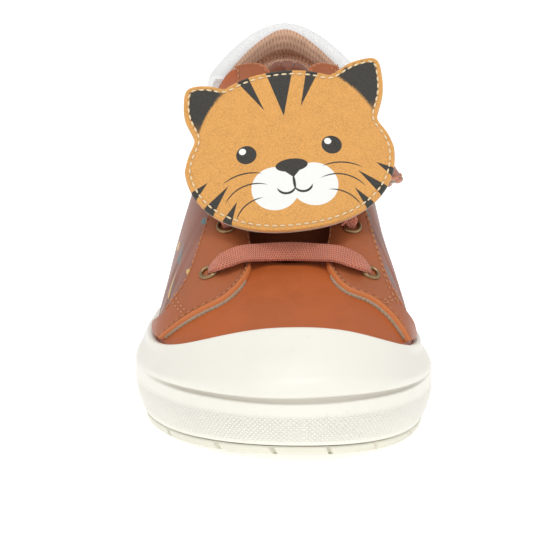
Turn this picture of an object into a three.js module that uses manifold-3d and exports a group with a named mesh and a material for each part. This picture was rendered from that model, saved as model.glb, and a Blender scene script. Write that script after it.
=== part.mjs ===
// A toddler's mid-top shoe for the right foot, in millimetres, +Z up.
// The toe points to -Y, the heel to +Y, the outer side of the foot to -X and the inner side to +X.
// The shoe stands empty on its outsole, which is flat at the heel and under the forefoot.

import * as THREE from 'three';
import Module from 'manifold-3d';
import { mergeVertices } from 'three/addons/utils/BufferGeometryUtils.js';

// Driving dimensions
const LENGTH = 160;
const BALL_WIDTH = 71;
const VAMP_HEIGHT = 37.2;
const INSTEP_HEIGHT = 78.8;
const COLLAR_HEIGHT = 73;
const HEEL_HEIGHT = 82;
const CLEARANCE = 0.3;

// Sole
const OUTSOLE_THICKNESS = 2.0;
const TREAD_DEPTH = 0.9;
const TREAD_WIDTH = 2.4;
const TREAD_PITCH = 11;
const NOTCH_WIDTH = 1.0;
const NOTCH_DEPTH = 1.1;
const NOTCH_COUNT = 18;
const TREAD_REACH = 0.62;
const TREAD_TURN = { forefoot: 0.12, heel: -0.08 };
const BED_THICKNESS = 6.5;
const HEEL_LIFT = 2.0;
const TOE_SPRING = 2.2;
const HEEL_SPRING = 1.2;
const ARCH_RISE = 2.0;
const RIM_INSET = 2.3;
const OUTSOLE_TAPER = 0.6;
const SIDE_HEIGHT = 19.5;
const CAP_HEIGHT = 27.6;
const SOLE_EDGE_THICKNESS = 1.9;
const GROOVE_RISE = 13.6;
const GROOVE_DEPTH = 0.8;
const RIDGE_RELIEF = 0.5;
const FEATHER_INSET = 4.5;

// Upper and what is sewn to it
const UPPER_WALL = 1.8;
const FACING_THICKNESS = 1.2;
const COLLAR_DEPTH = 9;
const COLLAR_THICKNESS = 4.6;
const COLLAR_PROUD = 0.7;
const COLLAR_ROUNDING = 1.4;
const TONGUE_THICKNESS = 2.2;
const TONGUE_LENGTHENED = 3;
const INSOLE_THICKNESS = 3.0;

// Eyelets, elastic bars, strap and face patch
const EYELET_FLANGE_RADIUS = 2.35;
const EYELET_SIDES = 12;
const EYELET_BARREL_RADIUS = 1.75;
const EYELET_HOLE_RADIUS = 1.35;
const EYELET_FLANGE_HEIGHT = 0.7;
const ELASTIC_WIDTH = 5.0;
const ELASTIC_THICKNESS = 1.2;
const ELASTIC_END = 0.6;
const STRAP_WIDTH = 16;
const STRAP_THICKNESS = 1.8;
const STRAP_FLARE = 3.7;
const PATCH_WIDTH = 51;
const PATCH_HEIGHT = 43.4;
const PATCH_THICKNESS = 1.8;
const PATCH_BEND_RADIUS = 85;
const PATCH_ROLL = 8;
const PATCH_GAP = 0.9;

// Fineness of the faceted solids
const ROUND_STEPS = 64;
const RIB_STEPS = 6;
const FACING_STEPS = 12;
const BELOW_EDGE = [0, 0.25, 0.6, 1];

// The sole's outline. along: share of LENGTH from the toe; lateral and medial: distance from the
// foot's axis to each side, as shares of half of BALL_WIDTH, before the ends are rounded off.
const OUTLINE = [
  { along: 0.00, lateral: 0.70, medial: 0.92 },
  { along: 0.15, lateral: 0.87, medial: 0.96 },
  { along: 0.33, lateral: 1.01, medial: 0.985 },
  { along: 0.50, lateral: 0.97, medial: 0.87 },
  { along: 0.66, lateral: 0.86, medial: 0.79 },
  { along: 0.85, lateral: 0.76, medial: 0.77 },
  { along: 1.00, lateral: 0.74, medial: 0.75 },
];
const TOE_RUN = 0.30;
const TOE_FULLNESS = 2.15;
const HEEL_RUN = 0.20;
const HEEL_FULLNESS = 2.3;

// The upper's ribs, from the feather line at the sole to the topline, from toe centre to heel centre.
// foot: where the rib starts, as a share of LENGTH. top: where it ends, as a share of LENGTH.
// lateral and medial: its end's distance from the axis, as shares of BALL_WIDTH.
// height: 0 at VAMP_HEIGHT and 1 at INSTEP_HEIGHT for ribs that end at the throat, and 0 at
// COLLAR_HEIGHT and 1 at HEEL_HEIGHT for ribs that end at the collar. out: belly beside the sole,
// share of BALL_WIDTH. up and drop: how far the rib leaves its two ends upright, shares of its own
// height. reach: how far it arrives flat, share of BALL_WIDTH. cap: 0 where the sole's edge is at
// SIDE_HEIGHT and 1 at CAP_HEIGHT.
const THROAT_RIBS = [
  { foot: 0.00, top: 0.340, lateral: -0.015, medial: 0.015, height: 0.00 },
  { foot: 0.04, top: 0.342, lateral: 0.060, medial: 0.090, height: 0.01 },
  { foot: 0.12, top: 0.353, lateral: 0.116, medial: 0.144, height: 0.05 },
  { foot: 0.24, top: 0.406, lateral: 0.128, medial: 0.158, height: 0.26 },
  { foot: 0.38, top: 0.477, lateral: 0.098, medial: 0.126, height: 0.57 },
  { foot: 0.52, top: 0.552, lateral: 0.042, medial: 0.070, height: 0.92 },
  { foot: 0.64, top: 0.600, lateral: 0.115, medial: 0.130, height: 1.00 },
];
const COLLAR_RIBS = [
  { foot: 0.75, top: 0.675, lateral: 0.238, medial: 0.254, height: 0.165 },
  { foot: 0.86, top: 0.788, lateral: 0.250, medial: 0.258, height: 0.06 },
  { foot: 0.95, top: 0.888, lateral: 0.165, medial: 0.165, height: 0.54 },
  { foot: 1.00, top: 0.938, lateral: 0.000, medial: 0.000, height: 1.00 },
];
const RIB_SHAPES = [
  { foot: 0.00, out: 0.020, up: 0.50, drop: 0.20, reach: 0.370, cap: 1.00 },
  { foot: 0.04, out: 0.022, up: 0.48, drop: 0.20, reach: 0.340, cap: 0.84 },
  { foot: 0.12, out: 0.028, up: 0.42, drop: 0.22, reach: 0.300, cap: 0.44 },
  { foot: 0.24, out: 0.042, up: 0.33, drop: 0.21, reach: 0.225, cap: 0.03 },
  { foot: 0.38, out: 0.036, up: 0.29, drop: 0.18, reach: 0.200, cap: 0.00 },
  { foot: 0.52, out: 0.028, up: 0.32, drop: 0.10, reach: 0.195, cap: 0.00 },
  { foot: 0.64, out: 0.012, up: 0.33, drop: 0.165, reach: 0.165, cap: 0.00 },
  { foot: 0.75, out: 0.008, up: 0.38, drop: 0.29, reach: 0.065, cap: 0.02 },
  { foot: 0.86, out: 0.020, up: 0.40, drop: 0.32, reach: 0.045, cap: 0.06 },
  { foot: 0.95, out: 0.028, up: 0.38, drop: 0.33, reach: 0.055, cap: 0.12 },
  { foot: 1.00, out: 0.022, up: 0.34, drop: 0.34, reach: 0.055, cap: 0.15 },
];

// The facings' front and back edges, from the topline down to the sole. foot names a rib, and up is
// the share of that rib between the sole's edge (0) and the topline (1), on each side of the shoe.
const FACING_FRONT = [
  { lateralFoot: 0.118, lateralUp: 1.00, medialFoot: 0.118, medialUp: 1.00 },
  { lateralFoot: 0.072, lateralUp: 0.83, medialFoot: 0.072, medialUp: 0.88 },
  { lateralFoot: 0.070, lateralUp: 0.63, medialFoot: 0.061, medialUp: 0.70 },
  { lateralFoot: 0.093, lateralUp: 0.42, medialFoot: 0.075, medialUp: 0.53 },
  { lateralFoot: 0.139, lateralUp: 0.27, medialFoot: 0.125, medialUp: 0.40 },
  { lateralFoot: 0.194, lateralUp: 0.12, medialFoot: 0.166, medialUp: 0.22 },
  { lateralFoot: 0.243, lateralUp: 0.00, medialFoot: 0.204, medialUp: 0.00 },
];
const FACING_BACK = [
  { lateralFoot: 0.685, lateralUp: 1.00, medialFoot: 0.685, medialUp: 1.00 },
  { lateralFoot: 0.600, lateralUp: 0.84, medialFoot: 0.600, medialUp: 0.84 },
  { lateralFoot: 0.430, lateralUp: 0.73, medialFoot: 0.430, medialUp: 0.73 },
  { lateralFoot: 0.316, lateralUp: 0.64, medialFoot: 0.316, medialUp: 0.64 },
  { lateralFoot: 0.248, lateralUp: 0.42, medialFoot: 0.240, medialUp: 0.44 },
  { lateralFoot: 0.280, lateralUp: 0.15, medialFoot: 0.250, medialUp: 0.20 },
  { lateralFoot: 0.375, lateralUp: 0.00, medialFoot: 0.330, medialUp: 0.00 },
];

// Where the eyelets sit on the facings, as ribs and shares between the sole's edge and the topline,
// and the ribs over which their elastic bar crosses the facing's edge and the ridge of the instep
const EYELETS = [
  { row: 1, foot: 0.180, up: 0.565, crossing: 0.100, ridge: 0.060 },
  { row: 2, foot: 0.241, up: 0.800, crossing: 0.228, ridge: 0.215 },
];

// The strap's route over the instep, from the lateral to the medial side. across: -1 and 1 at the two
// feather lines, -0.5 and 0.5 at the toplines, 0 on the ridge. foot names the rib. flare: share of
// STRAP_FLARE by which the lower edge stands off.
const STRAP_ROUTE = [
  { across: -0.640, foot: 0.380, flare: 0.0 },
  { across: -0.500, foot: 0.355, flare: 0.0 },
  { across: 0.000, foot: 0.345, flare: 0.0 },
  { across: 0.500, foot: 0.370, flare: 0.3 },
  { across: 0.642, foot: 0.440, flare: 1.0 },
  { across: 0.707, foot: 0.550, flare: 0.5 },
  { across: 0.715, foot: 0.650, flare: 0.0 },
];

// The animal head's outline beside and round its ears: its reach from the middle of the patch, as a
// share of half of PATCH_WIDTH, at angles above the horizontal in degrees. Elsewhere the outline is
// an oval whose corners are filled out by HEAD_FULLNESS.
const EARS = [
  { angle: 0.0, lateral: 0.992, medial: 0.995 },
  { angle: 7.0, lateral: 0.955, medial: 0.970 },
  { angle: 17.0, lateral: 0.905, medial: 0.925 },
  { angle: 22.0, lateral: 0.950, medial: 0.985 },
  { angle: 29.0, lateral: 1.055, medial: 1.115 },
  { angle: 36.5, lateral: 1.140, medial: 1.245 },
  { angle: 44.0, lateral: 1.200, medial: 1.350 },
  { angle: 48.5, lateral: 1.120, medial: 1.235 },
  { angle: 52.5, lateral: 1.005, medial: 1.090 },
  { angle: 56.0, lateral: 0.865, medial: 0.895 },
];
const HEAD_FULLNESS = 2.15;

// Vectors and interpolation
const add = (a, b, k = 1) => [a[0] + k * b[0], a[1] + k * b[1], a[2] + k * b[2]];
const minus = (a, b) => add(a, b, -1);
const dot = (a, b) => a[0] * b[0] + a[1] * b[1] + a[2] * b[2];
const cross = (a, b) => [a[1] * b[2] - a[2] * b[1], a[2] * b[0] - a[0] * b[2], a[0] * b[1] - a[1] * b[0]];
const unit = (a) => a.map((value) => value / Math.hypot(...a));
const mix = (a, b, k) => a + (b - a) * k;
const mixPoint = (a, b, k) => a.map((value, i) => mix(value, b[i], k));
const clamp = (value, low, high) => Math.min(high, Math.max(low, value));
const ease = (low, high, value) => {
  const share = clamp((value - low) / (high - low), 0, 1);
  return share * share * (3 - 2 * share);
};
const UP = [0, 0, 1];

// A smooth curve through a table's rows: one column as a function of another, or of the row number
function column(rows, key, name) {
  const at = rows.map((row, i) => (key ? row[key] : i / (rows.length - 1)));
  const values = rows.map((row) => row[name]);
  const slope = (i) => {
    const low = Math.max(0, i - 1);
    const high = Math.min(rows.length - 1, i + 1);
    return (values[high] - values[low]) / (at[high] - at[low]);
  };
  return (value) => {
    let i = 0;
    while (i < rows.length - 2 && value > at[i + 1]) i += 1;
    const span = at[i + 1] - at[i];
    const k = clamp((value - at[i]) / span, 0, 1);
    const start = (1 + 2 * k) * (1 - k) ** 2 * values[i] + k * (1 - k) ** 2 * span * slope(i);
    return start + k * k * (3 - 2 * k) * values[i + 1] - k * k * (1 - k) * span * slope(i + 1);
  };
}

// A closed cubic spline with the period of a full turn, through the given angles and values
function closedSpline(angles, values) {
  const count = angles.length;
  const gap = (i) => (i === count - 1 ? angles[0] + 2 * Math.PI - angles[i] : angles[i + 1] - angles[i]);
  const rows = angles.map((_, i) => {
    const before = (i + count - 1) % count;
    const after = (i + 1) % count;
    const row = new Array(count + 1).fill(0);
    row[before] += gap(before);
    row[i] += 2 * (gap(before) + gap(i));
    row[after] += gap(i);
    row[count] = 6 * ((values[after] - values[i]) / gap(i) - (values[i] - values[before]) / gap(before));
    return row;
  });
  for (let i = 0; i < count; i += 1) {
    for (let j = 0; j < count; j += 1) {
      if (j === i) continue;
      const share = rows[j][i] / rows[i][i];
      for (let k = i; k <= count; k += 1) rows[j][k] -= share * rows[i][k];
    }
  }
  const bend = rows.map((row, i) => row[count] / row[i]);
  return (angle) => {
    const turn = ((angle % (2 * Math.PI)) + 2 * Math.PI) % (2 * Math.PI);
    let i = count - 1;
    while (i > 0 && turn < angles[i]) i -= 1;
    const after = (i + 1) % count;
    const h = gap(i);
    const b = (turn - angles[i]) / h;
    const a = 1 - b;
    const curve = ((a ** 3 - a) * bend[i] + (b ** 3 - b) * bend[after]) * h * h / 6;
    return a * values[i] + b * values[after] + curve;
  };
}

// The sole's outline in plan. The angle runs round the foot: 0 at the toe, a quarter turn at the
// lateral side, half a turn at the heel and three quarters at the medial side.
const outlineLateral = column(OUTLINE, 'along', 'lateral');
const outlineMedial = column(OUTLINE, 'along', 'medial');
const alongOf = (angle) => (1 - Math.cos(angle)) / 2;
const angleOf = (along) => Math.acos(1 - 2 * along);
const sideOf = (angle) => (Math.sin(angle) >= 0 ? -1 : 1);
const yOf = (along) => (along - 0.5) * LENGTH;
const rounded = (share, fullness) => (1 - (1 - clamp(share, 0, 1)) ** fullness) ** (1 / fullness);

function outline(angle) {
  const along = alongOf(angle);
  const half = (outlineLateral(along) + outlineMedial(along)) / 2;
  const centre = (outlineMedial(along) - outlineLateral(along)) / 2;
  const closing = rounded(along / TOE_RUN, TOE_FULLNESS) * rounded((1 - along) / HEEL_RUN, HEEL_FULLNESS);
  return [(centre + sideOf(angle) * half * closing) * BALL_WIDTH / 2, yOf(along), 0];
}

function outlineNormal(angle) {
  const step = 0.02;
  return unit(cross(UP, minus(outline(angle + step), outline(angle - step))));
}

// Heights along the sole
function soleBottom(along) {
  const toe = TOE_SPRING * clamp(1 - along / 0.2, 0, 1) ** 1.7;
  const heel = HEEL_SPRING * clamp((along - 0.94) / 0.06, 0, 1) ** 1.5;
  const arch = ARCH_RISE * Math.sin(Math.PI * clamp((along - 0.44) / 0.24, 0, 1)) ** 2;
  return toe + heel + arch;
}
const cupBottom = (along) => soleBottom(along) + OUTSOLE_THICKNESS + CLEARANCE;
const bedHeight = (along) => cupBottom(along) + BED_THICKNESS + HEEL_LIFT * ease(0.35, 0.8, along);

// The upper's surface: one function of the angle round the foot and of the share up the rib
function ribColumn(rows, lateral, medial = lateral) {
  const back = rows.slice(1, -1).reverse();
  const angles = [
    ...rows.map((rib) => angleOf(rib.foot)),
    ...back.map((rib) => 2 * Math.PI - angleOf(rib.foot)),
  ];
  return closedSpline(angles, [...rows.map(lateral), ...back.map(medial)]);
}
const TOPS = [
  ...THROAT_RIBS.map((rib) => ({ ...rib, z: mix(VAMP_HEIGHT, INSTEP_HEIGHT, rib.height) })),
  ...COLLAR_RIBS.map((rib) => ({ ...rib, z: mix(COLLAR_HEIGHT, HEEL_HEIGHT, rib.height) })),
];
const topX = ribColumn(TOPS, (rib) => -rib.lateral * BALL_WIDTH, (rib) => rib.medial * BALL_WIDTH);
const topY = ribColumn(TOPS, (rib) => yOf(rib.top));
const topZ = ribColumn(TOPS, (rib) => rib.z);
const ribOut = ribColumn(RIB_SHAPES, (rib) => rib.out * BALL_WIDTH);
const ribUp = ribColumn(RIB_SHAPES, (rib) => rib.up);
const ribDrop = ribColumn(RIB_SHAPES, (rib) => rib.drop);
const ribReach = ribColumn(RIB_SHAPES, (rib) => rib.reach * BALL_WIDTH);
const ribCap = ribColumn(RIB_SHAPES, (rib) => rib.cap);

function feather(angle) {
  const point = add(outline(angle), outlineNormal(angle), -FEATHER_INSET);
  return [point[0], point[1], bedHeight(alongOf(angle)) + CLEARANCE];
}

function bezier(a, b, c, d, k) {
  const rest = 1 - k;
  const start = add(add([0, 0, 0], a, rest ** 3), b, 3 * rest * rest * k);
  return add(add(start, c, 3 * rest * k * k), d, k ** 3);
}

const ribEnds = new Map();
function ribHandles(angle) {
  if (ribEnds.has(angle)) return ribEnds.get(angle);
  const start = feather(angle);
  const end = [topX(angle), topY(angle), topZ(angle)];
  const normal = outlineNormal(angle);
  const height = end[2] - start[2];
  const across = unit(add([start[0] - end[0], start[1] - end[1], 0], normal, FEATHER_INSET * 4 / 3));
  const first = add(add(start, normal, ribOut(angle)), UP, ribUp(angle) * height);
  const second = add(add(end, across, ribReach(angle)), UP, -ribDrop(angle) * height);
  const handles = [start, first, second, end];
  ribEnds.set(angle, handles);
  return handles;
}

const ribPoint = (angle, share) => bezier(...ribHandles(angle), share);

// The ridge of the instep closes the form over the throat, for the tongue and what crosses it
// Its crown's height over the topline is a share of BALL_WIDTH.
const THROAT_FOOT = 0.06;
const CROWN = { toe: 0.00563, instep: 0.04507 };
function ridge(angle) {
  const foot = Math.max(THROAT_FOOT, alongOf(angle));
  const turn = angleOf(foot);
  const middle = mixPoint(ribPoint(turn, 1), ribPoint(2 * Math.PI - turn, 1), 0.5);
  const slope = unit([0, LENGTH * 0.2, INSTEP_HEIGHT - VAMP_HEIGHT]);
  const normal = cross([1, 0, 0], slope);
  const crown = BALL_WIDTH * mix(CROWN.toe, CROWN.instep, ease(0.12, 0.36, foot));
  return { point: add(middle, normal, crown), normal };
}

function overThroat(angle, share) {
  const end = ribPoint(angle, 1);
  const arrive = unit(minus(end, ribPoint(angle, 0.97)));
  const top = ridge(angle);
  const span = minus(end, top.point);
  const flat = add(span, top.normal, -dot(span, top.normal));
  const reach = 0.4 * Math.hypot(...span);
  return bezier(end, add(end, arrive, reach), add(top.point, flat, 0.4), top.point, share);
}

const surface = (angle, share) => (share <= 1 ? ribPoint(angle, share) : overThroat(angle, share - 1));

function surfaceNormal(angle, share) {
  if (share > 1.98) return ridge(angle).normal;
  const turn = 0.012;
  const step = 0.012;
  const high = Math.min(share + step, share <= 1 ? 1 : 2);
  const low = Math.max(share - step, share <= 1 ? 0 : 1);
  const rising = minus(surface(angle, high), surface(angle, low));
  return unit(cross(rising, minus(surface(angle + turn, share), surface(angle - turn, share))));
}

const skin = (angle, share, offset) => add(surface(angle, share), surfaceNormal(angle, share), offset);

// The share up a rib at which it passes a height
function shareAtHeight(angle, height) {
  let low = 0;
  let high = 1;
  for (let i = 0; i < 40; i += 1) {
    const middle = (low + high) / 2;
    if (ribPoint(angle, middle)[2] < height) low = middle;
    else high = middle;
  }
  return low;
}
const edgeShare = (angle) => shareAtHeight(angle, mix(SIDE_HEIGHT, CAP_HEIGHT, ribCap(angle)));
const sharePast = (angle, up) => mix(edgeShare(angle), 1, up);

// Closed solids from grids of points
function meshFrom(triangles) {
  const geometry = new THREE.BufferGeometry();
  geometry.setAttribute('position', new THREE.Float32BufferAttribute(triangles.flat(2), 3));
  const merged = mergeVertices(geometry, 1e-3);
  const index = merged.index.array;
  const kept = [];
  for (let i = 0; i < index.length; i += 3) {
    const [a, b, c] = [index[i], index[i + 1], index[i + 2]];
    if (a !== b && b !== c && a !== c) kept.push(a, b, c);
  }
  merged.setIndex(kept);
  return facingOut(merged);
}

function facingOut(geometry) {
  const position = geometry.attributes.position;
  const index = geometry.index.array;
  const corner = (i) => new THREE.Vector3().fromBufferAttribute(position, index[i]);
  let volume = 0;
  for (let i = 0; i < index.length; i += 3) {
    volume += corner(i).dot(corner(i + 1).cross(corner(i + 2)));
  }
  if (volume < 0) {
    for (let i = 0; i < index.length; i += 3) [index[i], index[i + 1]] = [index[i + 1], index[i]];
  }
  return geometry;
}

function quads(gridA, wrap = false) {
  const triangles = [];
  const across = wrap ? gridA[0].length : gridA[0].length - 1;
  for (let i = 0; i + 1 < gridA.length; i += 1) {
    for (let j = 0; j < across; j += 1) {
      const next = (j + 1) % gridA[0].length;
      const [a, b, c, d] = [gridA[i][j], gridA[i][next], gridA[i + 1][next], gridA[i + 1][j]];
      triangles.push([a, b, c], [a, c, d]);
    }
  }
  return triangles;
}
const flipped = (triangles) => triangles.map(([a, b, c]) => [a, c, b]);

// A sheet with a thickness: two like grids and the walls round them
function sheet(outer, inner, { wrap = false, foldedAtStart = false } = {}) {
  const last = outer.length - 1;
  const columnOf = (grid, j) => grid.map((row) => row[j]);
  const triangles = [...quads(outer, wrap), ...flipped(quads(inner, wrap))];
  triangles.push(...quads([inner[0], outer[0]], wrap), ...quads([outer[last], inner[last]], wrap));
  if (!wrap) {
    const end = outer[0].length - 1;
    triangles.push(...quads([columnOf(inner, end), columnOf(outer, end)]));
    if (!foldedAtStart) triangles.push(...quads([columnOf(outer, 0), columnOf(inner, 0)]));
  }
  return meshFrom(triangles);
}

// A ring: closed loops joined one after the other, and the last one to the first
const ring = (loops) => meshFrom(quads([...loops, loops[0]], true));

// A bar: closed sections joined in a row, with flat ends
function bar(sections) {
  const fan = (section) => section.map((point, i) => {
    const centre = section.reduce((sum, corner) => add(sum, corner, 1 / section.length), [0, 0, 0]);
    return [centre, section[(i + 1) % section.length], point];
  });
  const last = sections[sections.length - 1];
  return meshFrom([...quads(sections, true), ...fan(sections[0]), ...flipped(fan(last))]);
}

// A slab: closed loops round the foot, whose first and last are filled in from side to side
function slab(loops) {
  const strip = (loop) => {
    const count = loop.length;
    const rows = [];
    for (let i = 0; i <= count / 2; i += 1) rows.push([loop[i], loop[(count - i) % count]]);
    return quads(rows);
  };
  const last = loops[loops.length - 1];
  return meshFrom([...quads(loops, true), ...strip(loops[0]), ...flipped(strip(last))]);
}

const ANGLES = Array.from({ length: ROUND_STEPS }, (_, i) => 2 * Math.PI * i / ROUND_STEPS);
const around = (point) => ANGLES.map(point);
const steps = (count) => Array.from({ length: count + 1 }, (_, i) => i / count);

// manifold-3d joins and cuts
const wasm = await Module();
wasm.setup();
function solidOf(geometry) {
  const triVerts = new Uint32Array(geometry.index.array);
  const vertProperties = new Float32Array(geometry.attributes.position.array);
  return new wasm.Manifold(new wasm.Mesh({ numProp: 3, vertProperties, triVerts }));
}
function geometryOf(solid) {
  const mesh = solid.getMesh();
  const geometry = new THREE.BufferGeometry();
  geometry.setAttribute('position', new THREE.BufferAttribute(new Float32Array(mesh.vertProperties), 3));
  geometry.setIndex(Array.from(mesh.triVerts));
  return geometry;
}
function plain(geometry) {
  geometry.deleteAttribute('normal');
  geometry.deleteAttribute('uv');
  return facingOut(mergeVertices(geometry, 1e-3));
}
const cut = (body, tools) => tools.reduce((rest, tool) => rest.subtract(tool), body);

const centreX = (along) => (outlineMedial(along) - outlineLateral(along)) * BALL_WIDTH / 4;

// Outsole: a thin slab with cross grooves between its lugs and small slanted notches in its rim
function outsoleGeometry() {
  const loop = (inset, rise) => around((angle) => {
    const point = add(outline(angle), outlineNormal(angle), -inset);
    return [point[0], point[1], soleBottom(alongOf(angle)) + rise];
  });
  const body = solidOf(slab([loop(RIM_INSET + OUTSOLE_TAPER, 0), loop(RIM_INSET, OUTSOLE_THICKNESS)]));
  const tools = [];
  const grooveAt = (along, turn) => {
    const height = 2 * TREAD_DEPTH;
    const box = new THREE.BoxGeometry(BALL_WIDTH * TREAD_REACH, TREAD_WIDTH, height);
    box.rotateZ(turn);
    box.translate(centreX(along), yOf(along), soleBottom(along));
    tools.push(solidOf(plain(box)));
  };
  const pitch = TREAD_PITCH / LENGTH;
  for (let along = 0.10; along < 0.42; along += pitch) grooveAt(along, TREAD_TURN.forefoot);
  for (let along = 0.72; along < 0.93; along += pitch) grooveAt(along, TREAD_TURN.heel);
  for (let i = 0; i < NOTCH_COUNT; i += 1) {
    const angle = 2 * Math.PI * (i + 0.5) / NOTCH_COUNT;
    const point = add(outline(angle), outlineNormal(angle), -RIM_INSET);
    const notch = new THREE.BoxGeometry(NOTCH_WIDTH, 2 * NOTCH_DEPTH, 2 * OUTSOLE_THICKNESS);
    const normal = outlineNormal(angle);
    notch.rotateY(0.5);
    notch.rotateZ(Math.atan2(normal[1], normal[0]) - Math.PI / 2);
    notch.translate(point[0], point[1], soleBottom(alongOf(angle)));
    tools.push(solidOf(plain(notch)));
  }
  return geometryOf(cut(body, tools));
}

// Cupsole: footbed, side wall and rubber toe cap in one moulding, with a groove under the cap
const grooveHeight = (angle) => soleBottom(alongOf(angle)) + GROOVE_RISE;
const grooveFade = (angle) => 1 - ease(0.10, 0.26, alongOf(angle));
function cupsoleGeometry() {
  const lowRow = (share, inset) => around((angle) => {
    const point = add(outline(angle), outlineNormal(angle), -inset(angle));
    const low = cupBottom(alongOf(angle));
    return [point[0], point[1], mix(low, grooveHeight(angle), share)];
  });
  const wallThickness = (angle, share) => {
    const start = shareAtHeight(angle, grooveHeight(angle));
    const gap = minus(outline(angle), surface(angle, start));
    const low = dot([gap[0], gap[1], 0], outlineNormal(angle)) - CLEARANCE / 2;
    const ridgeBump = RIDGE_RELIEF * grooveFade(angle) * Math.exp(-(((share - 0.16) / 0.10) ** 2));
    return mix(low, SOLE_EDGE_THICKNESS, ease(0, 0.75, share)) + ridgeBump;
  };
  const highRow = (share, thickness) => around((angle) => {
    const start = shareAtHeight(angle, grooveHeight(angle) + GROOVE_DEPTH * 9 / 8);
    return skin(angle, mix(start, edgeShare(angle), share), thickness(angle, share));
  });
  const outerRows = [
    lowRow(0, () => RIM_INSET),
    lowRow(0.22, () => RIM_INSET * 0.48),
    lowRow(0.55, () => RIM_INSET * 0.09),
    lowRow(0.92, () => RIM_INSET * 0.04),
    lowRow(1.0, (angle) => RIM_INSET * 0.04 + GROOVE_DEPTH * grooveFade(angle)),
    ...[0.02, 0.16, 0.36, 0.6, 0.8, 0.95].map((share) => highRow(share, wallThickness)),
    highRow(1.0, () => SOLE_EDGE_THICKNESS * 0.62),
  ];
  const innerRows = BELOW_EDGE.slice(1).reverse().map((share) => around((angle) => {
    return skin(angle, share * edgeShare(angle), CLEARANCE);
  }));
  const bed = around((angle) => {
    const point = add(feather(angle), outlineNormal(angle), CLEARANCE);
    return [point[0], point[1], bedHeight(alongOf(angle))];
  });
  return slab([...outerRows, ...innerRows, bed]);
}

// Upper: one hollow shell, open at the throat and collar and underneath
const COLLAR_START = 0.76;
const collarDrop = (angle) => ease(COLLAR_START - 0.06, COLLAR_START, alongOf(angle)) * COLLAR_DEPTH;
function shellTop(angle) {
  const length = 1.15 * Math.hypot(...minus(ribPoint(angle, 1), ribPoint(angle, 0)));
  return 1 - collarDrop(angle) / length;
}
function upperGeometry() {
  const heights = [
    ...BELOW_EDGE.map((share) => (angle) => share * edgeShare(angle)),
    ...steps(RIB_STEPS).slice(1).map((share) => (angle) => mix(edgeShare(angle), shellTop(angle), share)),
  ];
  const row = (offset) => (height) => around((angle) => skin(angle, height(angle), offset));
  return ring([...heights.map(row(0)), ...heights.reverse().map(row(-UPPER_WALL))]);
}

// Collar: the padded band that tops the shell from one quarter round the heel to the other
function collarGeometry() {
  const section = (angle) => {
    const low = shellTop(angle) + CLEARANCE / 60;
    const inside = COLLAR_PROUD - COLLAR_THICKNESS;
    const middle = (low + 1) / 2;
    const corners = [
      [low, 0], [mix(low, middle, 0.6), COLLAR_PROUD], [mix(middle, 1, 0.7), COLLAR_PROUD * 0.8],
      [1.0, COLLAR_PROUD - COLLAR_ROUNDING], [1.0, inside + COLLAR_ROUNDING], [mix(middle, 1, 0.6), inside],
      [mix(low, middle, 0.5), inside], [low, -UPPER_WALL],
    ];
    return corners.map(([share, offset]) => skin(angle, share, offset));
  };
  return bar(ANGLES.filter((angle) => alongOf(angle) > COLLAR_START).map(section));
}

// Facings: the two quarters' fronts, sewn over the vamp, from the throat to the sole's edge
const turnOf = (side, foot) => (side < 0 ? angleOf(foot) : 2 * Math.PI - angleOf(foot));
function facingPoint(side, acrossShare, downShare, offset) {
  const word = side < 0 ? 'lateral' : 'medial';
  const edge = (rows) => [`${word}Foot`, `${word}Up`].map((name) => column(rows, null, name)(downShare));
  const [foot, up] = mixPoint(edge(FACING_FRONT), edge(FACING_BACK), acrossShare);
  const angle = turnOf(side, foot);
  const low = edgeShare(angle) + 0.02;
  return skin(angle, mix(low, 1, up), offset);
}
function facingSolid(side) {
  const grid = (offset) => steps(FACING_STEPS).map((down) => steps(FACING_STEPS).map((across) => {
    return facingPoint(side, across, down, offset);
  }));
  return solidOf(sheet(grid(CLEARANCE + FACING_THICKNESS), grid(CLEARANCE)));
}

// Tongue: under the facings and the vamp's edge, and a little longer than the throat
const TONGUE_FEET = [0.60, 0.52, 0.44, 0.36, 0.29, 0.23, 0.175, 0.13, 0.09, 0.05, 0.02];
function tongueGeometry() {
  const turns = [
    ...TONGUE_FEET.map((foot) => angleOf(foot)),
    0,
    ...[...TONGUE_FEET].reverse().map((foot) => 2 * Math.PI - angleOf(foot)),
  ];
  const shares = [2, 1.66, 1.33, 1, 0.94, 0.88];
  const depth = UPPER_WALL + 2 * CLEARANCE;
  const rowAt = (offset) => (turn) => shares.map((share) => skin(turn, share, offset));
  const lifted = (row) => row.map((point) => add(point, unit([0, 1, 0.2]), TONGUE_LENGTHENED));
  const grid = (offset) => {
    const rows = turns.map(rowAt(offset));
    return [lifted(rows[0]), ...rows, lifted(rows[rows.length - 1])];
  };
  return sheet(grid(-depth), grid(-depth - TONGUE_THICKNESS), { foldedAtStart: true });
}

// Insole: a slab that lies on the footbed inside the upper
function insoleGeometry() {
  const loop = (rise, inset) => around((angle) => {
    const point = add(feather(angle), outlineNormal(angle), -(UPPER_WALL + CLEARANCE + inset));
    return [point[0], point[1], bedHeight(alongOf(angle)) + CLEARANCE + rise];
  });
  return slab([loop(0, CLEARANCE / 3), loop(INSOLE_THICKNESS, CLEARANCE)]);
}

// Bands over the instep
function route(rows) {
  const across = column(rows, null, 'across');
  const foot = column(rows, null, 'foot');
  const flare = rows[0].flare === undefined ? () => 0 : column(rows, null, 'flare');
  return (share) => {
    const at = across(share);
    const angle = turnOf(at, foot(share));
    const rib = 2 * (1 - Math.abs(at));
    return { point: surface(angle, rib), normal: surfaceNormal(angle, rib), flare: flare(share) };
  };
}

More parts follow.
